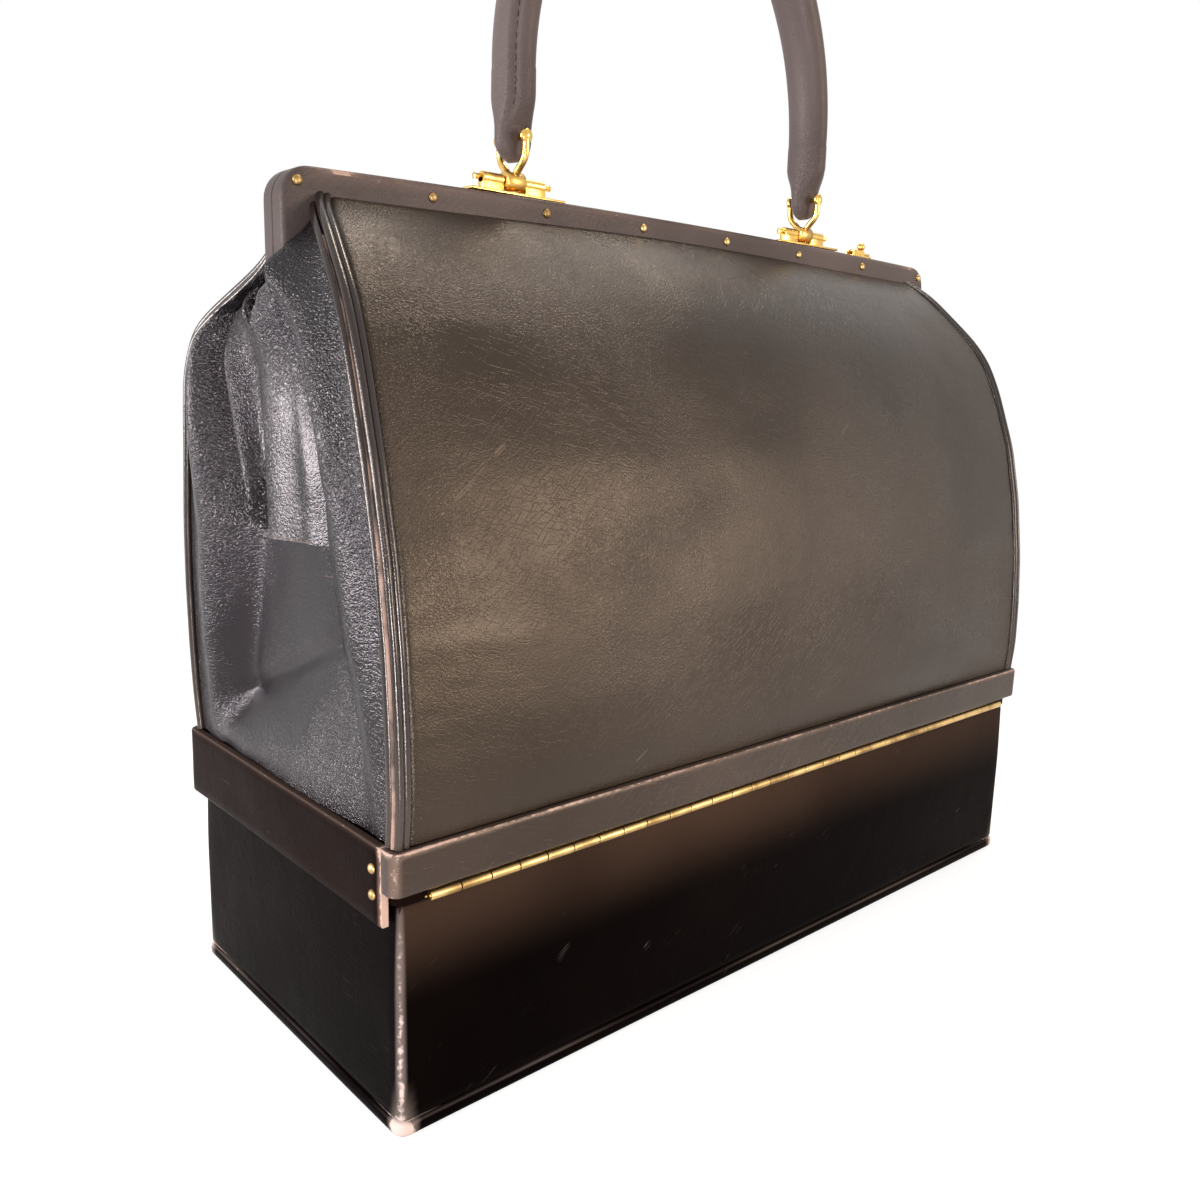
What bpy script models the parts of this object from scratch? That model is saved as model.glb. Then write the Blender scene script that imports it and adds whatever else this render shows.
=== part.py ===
"""Leather vanity bag: a framed soft upper bag, hinged along its back on a rigid lower case.

Metres, +Z up. X runs along the bag, the closures face -Y and the piano hinge is on the +Y side.
The origin is the middle of the base, on the surface that the bag stands on.
"""
import math

import bmesh
import bpy
from mathutils import Matrix, Vector

# Fits
GAP = 0.0003
SLIDE_GAP = 0.0005
SWING_GAP = 0.0006
OVERRUN = 0.002
WELD = 0.00001

# Lower case
CASE_WIDTH = 0.330
CASE_DEPTH = 0.136
CASE_TOP = 0.0710
CASE_CORNER = 0.0030
BASE_THICKNESS = 0.0045
BASE_PROUD = 0.0006
COVER_THICKNESS = 0.0014
CASE_WALL = 0.0040
CASE_FLOOR = 0.0035
LINING_THICKNESS = 0.0009
LINING_DROP = 0.0030

# Collar: the rigid lower rim of the upper bag
COLLAR_TOP = 0.0876
COLLAR_LEATHER_TOP = 0.0884
COLLAR_WALL = 0.0050
SKIRT_THICKNESS = 0.0026
SKIRT_BOTTOM = 0.0648
SKIRT_END_INSET = 0.0040
BACK_STRIP_BOTTOM = 0.0754
CORNER_RADIUS = 0.0035
FLOOR_BOARD_THICKNESS = 0.0030
FLOOR_BOARD_TOP = 0.0830
COLLAR_RIVET_INSET = 0.0080
COLLAR_RIVET_HEIGHTS = (0.0736, 0.0813)
RIVET_HEAD_RADIUS = 0.0015
RIVET_HEAD_HEIGHT = 0.0009
RIVET_SHANK_RADIUS = 0.0006
RIVET_SIDES = 8

# Piano hinge
HINGE_Z = 0.0730
HINGE_INSET = 0.0090
HINGE_KNUCKLES = 30
HINGE_BARREL_RADIUS = 0.0015
HINGE_BORE_RADIUS = 0.0009
HINGE_PIN_RADIUS = 0.0006
HINGE_LEAF_THICKNESS = 0.0008
HINGE_LEAF_WIDTH = 0.0042
HINGE_SIDES = 8

# Top frame: two jaws whose legs turn on a pin at each end
JAW_END_INSET = 0.0020
JAW_TOP = 0.2723
JAW_CROWN = 0.0024
JAW_RAIL = 0.0088
JAW_LEG_WIDTH = 0.0130
JAW_CORE_THICKNESS = 0.0044
JAW_LEATHER = 0.0016
JAW_CORNER = 0.0090
JAW_INNER_CORNER = 0.0020
JAW_LEATHER_INSET = 0.0004
JAW_RIVETS = 8
JAW_RIVET_INSET = 0.0045
JAW_LEATHER_LEG = 0.0260
PIVOT_Z = 0.1745
PIVOT_EYE_RADIUS = 0.0060
PIVOT_EYE_PROUD = 0.0002
PIVOT_PIN_RADIUS = 0.0016
PIVOT_BORE_RADIUS = 0.0019
PIVOT_HEAD_RADIUS = 0.0030
PIVOT_HEAD_HEIGHT = 0.0007

# Soft upper bag
LEATHER = 0.0022
SEAM_INSET = 0.0006
SOFT_TOP = 0.2626
WELT_RADIUS = 0.0020
WELT_PROUD = 0.0006
PANEL_EDGE = 0.0024
GUSSET_EDGE = 0.0027
PANEL_CROWN = 0.0030
PANEL_COLUMNS = 8
SLOPE_SHARE = 0.02
LEG_SHARE = 0.2
GUSSET_RECESS = 0.0080
TONGUE_BOTTOM = 0.1657
TONGUE_TOP_Z = 0.2360
TONGUE_FACE = 0.0032
TONGUE_RAMP = 0.0060
HORN_CLEARANCE = 0.0022
# height up the soft part, and how far out and along the seam lies there, at the back and at the front
PANEL_SHARES = (
    (0.000, 0.985, 1.000, 0.985, 1.000),
    (0.070, 1.000, 1.000, 1.000, 1.000),
    (0.180, 0.993, 1.000, 0.995, 1.000),
    (0.300, 0.970, 1.000, 0.985, 1.000),
    (0.445, 0.920, 1.000, 0.965, 1.000),
    (0.575, 0.845, 1.000, 0.935, 0.998),
    (0.715, 0.720, 0.994, 0.905, 0.993),
    (0.785, 0.640, 0.989, 0.870, 0.986),
    (0.812, 0.595, 0.985, 0.825, 0.980),
    (0.848, 0.535, 0.980, 0.645, 0.969),
    (0.900, 0.415, 0.970, 0.375, 0.955),
    (0.945, 0.290, 0.956, 0.250, 0.948),
    (0.978, 0.170, 0.942, 0.160, 0.940),
    (1.000, 0.072, 0.918, 0.072, 0.918),
)
# height up the soft part, and how deep the end is drawn in there
RECESS_SHARES = (
    (0.00, 0.05),
    (0.10, 0.45),
    (0.25, 0.95),
    (0.45, 0.90),
    (0.62, 0.75),
    (0.80, 0.40),
    (1.00, 0.00),
)
# height up the leg, and the tongue's edges there as shares of the seam's depth, front and back
TONGUE_SHARES = (
    (0.00, -0.14, 0.55),
    (0.25, -0.24, 0.52),
    (0.60, -0.55, 0.46),
    (0.85, -0.72, 0.42),
    (1.00, -0.75, 0.42),
)

# Handle and what holds it
HANDLE_HALF_WIDTH = 0.0776
HANDLE_FOOT = 0.2856
HANDLE_SHOULDER = 0.2966
HANDLE_STRAIGHT_TOP = 0.3150
HANDLE_TOP = 0.4080
HANDLE_HALF_THICKNESS = 0.0063
HANDLE_MIDDLE_THICKNESS = 0.0073
HANDLE_HALF_DEPTH = 0.0087
HANDLE_TAB_WIDTH = 0.0068
HANDLE_TAB_DEPTH = 0.0047
HANDLE_PIN_Z = 0.2930
HANDLE_CORE_RADIUS = 0.0033
HANDLE_PIN_RADIUS = 0.0010
HANDLE_PIN_OVERHANG = 0.0005
HANDLE_ARCH_POINTS = 18
# height up the straight part of an arm, and its thickness there
HANDLE_ARM_SHARES = ((0.00, 0.70), (0.06, 0.92), (0.18, 1.02), (0.45, 1.02), (0.75, 1.00))
MOUNT_LENGTH = 0.0390
MOUNT_DEPTH = 0.0092
MOUNT_PLATE = 0.0009
MOUNT_LUG_RADIUS = 0.0022
MOUNT_LUG_LENGTH = 0.0110
AXLE_RISE = 0.0049
AXLE_RADIUS = 0.0009
SHACKLE_BOSS_RADIUS = 0.0033
SHACKLE_BOSS_LENGTH = 0.0080
SHACKLE_WIRE_RADIUS = 0.0012
SHACKLE_SPREAD = 0.0072
SHACKLE_EYE_RADIUS = 0.0023
# height up the shackle and how far its arms stand out there
SHACKLE_BOW_SHARES = ((0.09, 0.15), (0.25, 0.40), (0.37, 0.68), (0.475, 0.89), (0.73, 1.00), (1.00, 1.00))
SHACKLE_EYE_WIDTH = 0.0018

# Frame catch: a peg slides a hook behind a stud on the front jaw
CATCH_DISTANCE = 0.0210
CATCH_TRAVEL = 0.0035
CATCH_PLATE_LENGTH = 0.0100
CATCH_PLATE_WIDTH = 0.0028
CATCH_PLATE_THICKNESS = 0.0009
CATCH_CENTRE_Y = 0.0018
CATCH_GUIDE_WALL = 0.0006
CATCH_GUIDE_FLOOR = 0.0006
CATCH_GUIDE_LIP = 0.0006
CATCH_ARM_WIDTH = 0.0014
CATCH_FINGER_LENGTH = 0.0050
CATCH_STUD_RADIUS = 0.0008
CATCH_STUD_Y = -0.0022
CATCH_STUD_HEIGHT = 0.0030
CATCH_PEG_RADIUS = 0.0007
CATCH_PEG_HEIGHT = 0.0028
CATCH_BALL_RADIUS = 0.0017

# Case lock on the front: a tongue hangs from the collar into a notched body
LOCK_HALF_WIDTH = 0.0170
LOCK_BOTTOM = 0.0380
LOCK_TOP = 0.0620
LOCK_DEPTH = 0.0066
TONGUE_HALF_WIDTH = 0.0048
TONGUE_THICKNESS = 0.0014
TONGUE_TOP = 0.0835
TONGUE_FOOT = 0.0500
BOLT_HEIGHT = 0.0040
BOLT_Z = 0.0550
BOLT_BITE = 0.0024
BOLT_REST_CLEARANCE = 0.0008
BOLT_LENGTH = 0.0096
BOLT_NECK_LENGTH = 0.0026
BOLT_NECK_HEIGHT = 0.0014
BUTTON_LENGTH = 0.0048
BUTTON_HEIGHT = 0.0064
BUTTON_DEPTH = 0.0014

# Places that follow from the sizes above
HALF_X = CASE_WIDTH / 2
HALF_Y = CASE_DEPTH / 2
HINGE_LENGTH = CASE_WIDTH - HINGE_INSET * 2
JAW_HALF_LENGTH = HALF_X - JAW_END_INSET
JAW_RIVET_LENGTH = (JAW_HALF_LENGTH - JAW_RIVET_INSET) * 2
SEAM_HALF_WIDTH = HALF_X - SEAM_INSET
SEAM_HALF_DEPTH = HALF_Y
CATCH_X = -HANDLE_HALF_WIDTH - MOUNT_LENGTH / 2 - CATCH_DISTANCE
HINGE_Y = HALF_Y + HINGE_BARREL_RADIUS - GAP / 2
RING_HALF_X = HALF_X + GAP
RING_HALF_Y = HALF_Y - GAP
SKIRT_HALF_X = RING_HALF_X + GAP + SKIRT_THICKNESS
SKIRT_HALF_Y = HALF_Y + GAP + SKIRT_THICKNESS
SKIRT_END_Y = HALF_Y - SKIRT_END_INSET
COLLAR_RIVET_Y = HALF_Y - COLLAR_RIVET_INSET
JAW_FACE = GAP / 2 + JAW_CORE_THICKNESS
JAW_OUTER = JAW_FACE + GAP + JAW_LEATHER
SOFT_BOTTOM = COLLAR_LEATHER_TOP + GAP
SOFT_HEIGHT = SOFT_TOP - SOFT_BOTTOM

COLOURS = {
    "leather": ((0.030, 0.024, 0.022), 0.38, 0.0),
    "frame_leather": ((0.045, 0.036, 0.034), 0.45, 0.0),
    "raw_edge": ((0.420, 0.300, 0.240), 0.70, 0.0),
    "brass": ((0.720, 0.500, 0.180), 0.28, 1.0),
    "steel": ((0.450, 0.440, 0.430), 0.40, 1.0),
    "board": ((0.360, 0.250, 0.160), 0.80, 0.0),
    "lining": ((0.330, 0.240, 0.190), 0.85, 0.0),
}


def clear_scene():
    """Empty the file of objects and collections' leftovers."""
    for obj in list(bpy.data.objects):
        bpy.data.objects.remove(obj, do_unlink=True)
    for collection in list(bpy.data.collections):
        bpy.data.collections.remove(collection)


clear_scene()
PARTS = bpy.data.collections.new("vanity_bag")
bpy.context.scene.collection.children.link(PARTS)


def finish(obj, kind):
    """Give a sub-part a material of its own, in the colour of its kind."""
    colour, roughness, metallic = COLOURS[kind]
    surface = bpy.data.materials.new(obj.name + "_" + kind)
    surface.use_nodes = True
    shader = surface.node_tree.nodes["Principled BSDF"]
    shader.inputs["Base Color"].default_value = (*colour, 1.0)
    shader.inputs["Roughness"].default_value = roughness
    shader.inputs["Metallic"].default_value = metallic
    obj.data.materials.clear()
    obj.data.materials.append(surface)
    return obj


def mesh_object(name, bm):
    """Turn a bmesh into an object among the parts."""
    mesh = bpy.data.meshes.new(name)
    bm.to_mesh(mesh)
    bm.free()
    obj = bpy.data.objects.new(name, mesh)
    PARTS.objects.link(obj)
    return obj


def baked(obj):
    """Swap an object's shape for its evaluated mesh, with its place in the mesh."""
    bpy.context.view_layer.update()
    seen = obj.evaluated_get(bpy.context.evaluated_depsgraph_get())
    mesh = bpy.data.meshes.new_from_object(seen)
    bm = bmesh.new()
    bm.from_mesh(mesh)
    bmesh.ops.remove_doubles(bm, verts=bm.verts, dist=WELD)
    bm.transform(obj.matrix_world)
    bm.to_mesh(mesh)
    bm.free()
    name = obj.name
    bpy.data.objects.remove(obj, do_unlink=True)
    solid = bpy.data.objects.new(name, mesh)
    PARTS.objects.link(solid)
    return solid


AXES = {
    "Z": Matrix.Identity(4),
    "Y": Matrix(((1, 0, 0, 0), (0, 0, -1, 0), (0, 1, 0, 0), (0, 0, 0, 1))),
    "X": Matrix(((0, 0, 1, 0), (1, 0, 0, 0), (0, 1, 0, 0), (0, 0, 0, 1))),
}


def prism(name, loops, low, high, axis="Z"):
    """A flat outline with its holes, drawn out along an axis from low to high."""
    curve = bpy.data.curves.new(name, "CURVE")
    curve.dimensions = "2D"
    curve.fill_mode = "BOTH"
    curve.extrude = (high - low) / 2
    for loop in loops:
        spline = curve.splines.new("POLY")
        spline.points.add(len(loop) - 1)
        for point, (a, b) in zip(spline.points, loop):
            point.co = (a, b, 0, 1)
        spline.use_cyclic_u = True
    obj = bpy.data.objects.new(name, curve)
    PARTS.objects.link(obj)
    middle = (low + high) / 2
    slide = {"X": (middle, 0, 0), "Y": (0, middle, 0), "Z": (0, 0, middle)}[axis]
    obj.matrix_world = Matrix.Translation(slide) @ AXES[axis]
    return baked(obj)


def rounded(half_a, half_b, radius, steps=3):
    """A rectangle about the origin with round corners."""
    points = []
    for quarter, (side_a, side_b) in enumerate(((1, 1), (-1, 1), (-1, -1), (1, -1))):
        for step in range(steps + 1):
            angle = (quarter + step / steps) * math.pi / 2
            points.append((
                side_a * (half_a - radius) + radius * math.cos(angle),
                side_b * (half_b - radius) + radius * math.sin(angle),
            ))
    return points


def ring_points(centre, radius, sides, turn=0.0):
    """Points round a circle, anticlockwise."""
    return [
        (
            centre[0] + radius * math.cos(turn + 2 * math.pi * side / sides),
            centre[1] + radius * math.sin(turn + 2 * math.pi * side / sides),
        )
        for side in range(sides)
    ]


def arched(foot, centre, radius, steps=6):
    """An upright outline with straight sides and a round top about (0, centre)."""
    points = [(-radius, foot), (radius, foot)]
    for step in range(steps + 1):
        angle = math.pi * step / steps
        points.append((radius * math.cos(angle), centre + radius * math.sin(angle)))
    return points


def box(name, low, high):
    """A box between two corners."""
    bm = bmesh.new()
    bmesh.ops.create_cube(bm, size=1.0)
    size = [h - l for l, h in zip(low, high)]
    middle = [(h + l) / 2 for l, h in zip(low, high)]
    bm.transform(Matrix.Translation(middle) @ Matrix.Diagonal((*size, 1.0)))
    return mesh_object(name, bm)


def rod(name, radius, low, high, centre, axis="X", sides=16):
    """A round bar along an axis, at centre in the other two."""
    return prism(name, [ring_points(centre, radius, sides)], low, high, axis)


def combine(obj, others, operation):
    """Join other shapes to an object, or cut them from it, and keep the result as its mesh."""
    for other in others:
        modifier = obj.modifiers.new(operation.lower(), "BOOLEAN")
        modifier.operation = operation
        modifier.solver = "EXACT"
        modifier.object = other
    solid = baked(obj)
    for other in others:
        bpy.data.objects.remove(other, do_unlink=True)
    return solid


def merged(name, objects):
    """Several separate shapes as one mesh, to be used together in one cut or union."""
    bm = bmesh.new()
    for obj in objects:
        bm.from_mesh(obj.data)
        bpy.data.objects.remove(obj, do_unlink=True)
    return mesh_object(name, bm)


def tube(name, points, radius, shares=None, resolution=2):
    """A round bar along a path, whose radius may vary as shares of the given one."""
    curve = bpy.data.curves.new(name, "CURVE")
    curve.dimensions = "3D"
    curve.bevel_depth = radius
    curve.bevel_resolution = resolution
    curve.use_fill_caps = True
    spline = curve.splines.new("POLY")
    spline.points.add(len(points) - 1)
    for index, point in enumerate(points):
        spline.points[index].co = (*point, 1)
        spline.points[index].radius = shares[index] if shares else 1
    obj = bpy.data.objects.new(name, curve)
    PARTS.objects.link(obj)
    return obj


def shell(name, rows, thickness, outward):
    """A sheet through rows of points, thickened inwards; outward tells which way it faces."""
    bm = bmesh.new()
    grid = [[bm.verts.new(point) for point in row] for row in rows]
    for lower, upper in zip(grid, grid[1:]):
        for a, b, c, d in zip(lower, lower[1:], upper[1:], upper):
            bm.faces.new((a, b, c, d))
    bm.normal_update()
    total = sum((face.normal * face.calc_area() for face in bm.faces), Vector())
    if total.dot(Vector(outward)) < 0:
        bmesh.ops.reverse_faces(bm, faces=bm.faces)
    obj = mesh_object(name, bm)
    wall = obj.modifiers.new("wall", "SOLIDIFY")
    wall.thickness = thickness
    wall.offset = -1.0
    wall.use_even_offset = True
    wall.use_quality_normals = True
    return obj


def between(table, share, column):
    """Read a column of a table of shares at a given share, straight between its rows."""
    for low, high in zip(table, table[1:]):
        if share <= high[0]:
            part = (share - low[0]) / (high[0] - low[0])
            return low[column] + (high[column] - low[column]) * part
    return table[-1][column]


def smooth(value):
    """Ease a value from 0 to 1."""
    value = min(max(value, 0.0), 1.0)
    return value * value * (3 - 2 * value)


def crown_at(x):
    """How far the arched frame rises above its ends at x."""
    return JAW_CROWN * (1 - (x / JAW_HALF_LENGTH) ** 2)


# Lower case


def build_case():
    """The base board, the box with its cover and lining, all open at the top."""
    base = prism(
        "case_base", [rounded(HALF_X + BASE_PROUD, HALF_Y + BASE_PROUD, CASE_CORNER)], 0, BASE_THICKNESS
    )
    finish(base, "leather")

    cover_in = [rounded(HALF_X - COVER_THICKNESS, HALF_Y - COVER_THICKNESS, CASE_CORNER - COVER_THICKNESS)]
    cover = prism(
        "case_cover", [rounded(HALF_X, HALF_Y, CASE_CORNER), *cover_in], BASE_THICKNESS + GAP, CASE_TOP
    )
    finish(cover, "leather")

    shell_x = HALF_X - COVER_THICKNESS - GAP
    shell_y = HALF_Y - COVER_THICKNESS - GAP
    inner_x = shell_x - CASE_WALL
    inner_y = shell_y - CASE_WALL
    case = prism(
        "case_shell",
        [rounded(shell_x, shell_y, CASE_CORNER - COVER_THICKNESS)],
        BASE_THICKNESS + GAP,
        CASE_TOP,
    )
    floor_top = BASE_THICKNESS + GAP + CASE_FLOOR
    hollow = prism("case_hollow", [rounded(inner_x, inner_y, CASE_CORNER)], floor_top, CASE_TOP + OVERRUN)
    finish(combine(case, [hollow], "DIFFERENCE"), "board")

    lining_x = inner_x - GAP
    lining_y = inner_y - GAP
    lining = prism(
        "case_lining", [rounded(lining_x, lining_y, CASE_CORNER)], floor_top + GAP, CASE_TOP - LINING_DROP
    )
    room = prism(
        "lining_hollow",
        [rounded(lining_x - LINING_THICKNESS, lining_y - LINING_THICKNESS, CASE_CORNER - LINING_THICKNESS)],
        floor_top + GAP + LINING_THICKNESS,
        CASE_TOP + OVERRUN,
    )
    finish(combine(lining, [room], "DIFFERENCE"), "lining")


# Piano hinge


def hinge_leaf(name, side, first):
    """One leaf: a comb whose teeth carry every other knuckle. side is -1 below the axis, 1 above."""
    pitch = HINGE_LENGTH / HINGE_KNUCKLES
    start = -HINGE_LENGTH / 2
    back = HINGE_Y - HINGE_BARREL_RADIUS - SLIDE_GAP
    tooth = HINGE_Y - HINGE_BORE_RADIUS / 2 - GAP
    outline = [(start, back - HINGE_LEAF_WIDTH), (-start, back - HINGE_LEAF_WIDTH), (-start, back)]
    knuckles = []
    for index in reversed(range(first, HINGE_KNUCKLES, 2)):
        low = start + pitch * index + GAP / 2
        high = start + pitch * (index + 1) - GAP / 2
        outline += [(high, back), (high, tooth), (low, tooth), (low, back)]
        circle = ring_points((HINGE_Y, HINGE_Z), HINGE_BARREL_RADIUS, HINGE_SIDES)
        bore = ring_points((HINGE_Y, HINGE_Z), HINGE_BORE_RADIUS, HINGE_SIDES)
        knuckles.append(prism("knuckle", [circle, bore], low, high, "X"))
    outline.append((start, back))
    cleaned = [point for point, before in zip(outline, outline[-1:] + outline) if point != before]
    far = HINGE_Z + side * (HINGE_BARREL_RADIUS - GAP / 2)
    near = far - side * HINGE_LEAF_THICKNESS
    comb = prism(name, [cleaned], min(far, near), max(far, near))
    return combine(comb, [merged("knuckles", knuckles)], "UNION")


def build_hinge():
    """Two leaves with interleaved knuckles on one long pin."""
    finish(hinge_leaf("case_hinge_leaf", -1, 0), "brass")
    finish(hinge_leaf("collar_hinge_leaf", 1, 1), "brass")
    pin = rod("hinge_pin", HINGE_PIN_RADIUS, -HINGE_LENGTH / 2, HINGE_LENGTH / 2, (HINGE_Y, HINGE_Z), "X", 8)
    finish(pin, "brass")


# Collar


def rivet_shape(name, foot, face, height_centre, along, side, axis):
    """A domed rivet: a shank from foot to face and a low dome beyond it, along X or Y."""
    bm = bmesh.new()
    length = abs(face - foot)
    bmesh.ops.create_cone(
        bm, cap_ends=True, segments=RIVET_SIDES, radius1=RIVET_SHANK_RADIUS, radius2=RIVET_SHANK_RADIUS,
        depth=length + RIVET_HEAD_HEIGHT / 2,
        matrix=Matrix.Translation((0, 0, (length + RIVET_HEAD_HEIGHT / 2) / 2)),
    )
    shank = mesh_object(name + "_shank", bm)
    profile = [
        (RIVET_HEAD_RADIUS, length),
        (RIVET_HEAD_RADIUS * math.cos(math.pi / 6), length + RIVET_HEAD_HEIGHT * 0.5),
        (RIVET_HEAD_RADIUS * math.cos(math.pi / 3), length + RIVET_HEAD_HEIGHT * math.sin(math.pi / 3)),
        (0, length + RIVET_HEAD_HEIGHT),
    ]
    bm = bmesh.new()
    rings = []
    for radius, z in profile[:-1]:
        rings.append([bm.verts.new((a, b, z)) for a, b in ring_points((0, 0), radius, RIVET_SIDES)])
    tip = bm.verts.new((0, 0, profile[-1][1]))
    bm.faces.new(list(reversed(rings[0])))
    for lower, upper in zip(rings, rings[1:]):
        for step in range(RIVET_SIDES):
            after = (step + 1) % RIVET_SIDES
            bm.faces.new((lower[step], lower[after], upper[after], upper[step]))
    for step in range(RIVET_SIDES):
        bm.faces.new((rings[-1][step], rings[-1][(step + 1) % RIVET_SIDES], tip))
    head = mesh_object(name + "_head", bm)
    whole = combine(shank, [head], "UNION")
    if axis == "X":
        turn = Matrix.Rotation(side * math.pi / 2, 4, "Y")
        place = Matrix.Translation((foot, along, height_centre))
    else:
        turn = Matrix.Rotation(-side * math.pi / 2, 4, "X")
        place = Matrix.Translation((along, foot, height_centre))
    whole.data.transform(place @ turn)
    return whole


def build_collar():
    """The rim of the upper bag: a board ring, leather skirt and strip, rivets and floor board."""
    inner_x = RING_HALF_X - COLLAR_WALL
    inner_y = RING_HALF_Y - COLLAR_WALL
    ring = prism(
        "collar_ring",
        [rounded(RING_HALF_X, RING_HALF_Y, CORNER_RADIUS), rounded(inner_x, inner_y, CORNER_RADIUS)],
        CASE_TOP + GAP,
        COLLAR_TOP,
    )
    rebate_top = HINGE_Z + HINGE_BARREL_RADIUS + GAP
    rebate = box(
        "hinge_rebate",
        (-HINGE_LENGTH / 2 - SLIDE_GAP, inner_y - OVERRUN, CASE_TOP - OVERRUN),
        (HINGE_LENGTH / 2 + SLIDE_GAP, RING_HALF_Y + OVERRUN, rebate_top),
    )
    ring = combine(ring, [rebate], "DIFFERENCE")

    rivets = []
    holes = []
    for side in (-1, 1):
        for z in COLLAR_RIVET_HEIGHTS:
            foot = side * (RING_HALF_X - COLLAR_WALL / 2)
            face = side * (SKIRT_HALF_X + GAP)
            rivets.append(rivet_shape("collar_rivet", foot, face, z, COLLAR_RIVET_Y, side, "X"))
            ends = sorted((side * (RING_HALF_X - OVERRUN), side * (SKIRT_HALF_X + OVERRUN)))
            place = (COLLAR_RIVET_Y, z)
            holes.append(rod("rivet_hole", RIVET_SHANK_RADIUS + GAP, *ends, place, "X", RIVET_SIDES))
    ring = combine(ring, [merged("collar_rivets", rivets)], "UNION")
    finish(ring, "board")

    outer = rounded(SKIRT_HALF_X, SKIRT_HALF_Y, CORNER_RADIUS)
    inner = rounded(RING_HALF_X + GAP, HALF_Y + GAP, CORNER_RADIUS - SKIRT_THICKNESS / 2)
    skirt = prism("collar_skirt", [outer, inner], SKIRT_BOTTOM, COLLAR_LEATHER_TOP)
    back_cut = box(
        "skirt_back_cut",
        (-SKIRT_HALF_X - OVERRUN, SKIRT_END_Y, SKIRT_BOTTOM - OVERRUN),
        (SKIRT_HALF_X + OVERRUN, SKIRT_HALF_Y + OVERRUN, COLLAR_LEATHER_TOP + OVERRUN),
    )
    skirt = combine(skirt, [back_cut, merged("rivet_holes", holes)], "DIFFERENCE")
    finish(skirt, "leather")

    strip = prism("collar_back_strip", [outer, inner], BACK_STRIP_BOTTOM, COLLAR_LEATHER_TOP)
    front_cut = box(
        "strip_front_cut",
        (-SKIRT_HALF_X - OVERRUN, -SKIRT_HALF_Y - OVERRUN, BACK_STRIP_BOTTOM - OVERRUN),
        (SKIRT_HALF_X + OVERRUN, SKIRT_END_Y + GAP, COLLAR_LEATHER_TOP + OVERRUN),
    )
    finish(combine(strip, [front_cut], "DIFFERENCE"), "leather")

    board = prism(
        "bag_floor",
        [rounded(inner_x - GAP, inner_y - GAP, CORNER_RADIUS)],
        FLOOR_BOARD_TOP - FLOOR_BOARD_THICKNESS,
        FLOOR_BOARD_TOP,
    )
    finish(board, "lining")


# Top frame


def jaw_outline(inset, leg_foot, steps=4, rail_steps=10):
    """The frame's inverted U in X and Z: outer edge, then inner edge, both crowned along the rail."""
    half = JAW_HALF_LENGTH - inset
    top = JAW_TOP - inset
    radius = JAW_CORNER - inset
    inner_half = JAW_HALF_LENGTH - JAW_LEG_WIDTH + inset
    inner_top = JAW_TOP - JAW_RAIL + inset
    points = [(half, leg_foot)]
    for step in range(steps + 1):
        angle = step / steps * math.pi / 2
        points.append((half - radius + radius * math.cos(angle), top - radius + radius * math.sin(angle)))
    for step in range(1, rail_steps):
        rail_share = 1 - 2 * step / rail_steps
        x = (half - radius) * rail_share
        points.append((x, top + crown_at(x) - crown_at(half - radius)))
    for step in range(steps + 1):
        angle = (1 + step / steps) * math.pi / 2
        points.append((-half + radius + radius * math.cos(angle), top - radius + radius * math.sin(angle)))
    points.append((-half, leg_foot))
    points.append((-inner_half, leg_foot))
    corner = JAW_INNER_CORNER
    points.append((-inner_half, inner_top - corner))
    for step in range(rail_steps + 1):
        rail_share = 2 * step / rail_steps - 1
        x = (inner_half - corner) * rail_share
        points.append((x, inner_top + crown_at(x) - crown_at(inner_half - corner)))
    points.append((inner_half, inner_top - corner))
    points.append((inner_half, leg_foot))
    return points


def rivet_places():
    """Where the frame's rivets stand along its rail, in X and Z."""
    places = []
    for index in range(JAW_RIVETS):
        x = JAW_RIVET_LENGTH * (index / (JAW_RIVETS - 1) - 1 / 2)
        places.append((x, JAW_TOP - JAW_RAIL / 2 + crown_at(x)))
    return places


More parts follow.
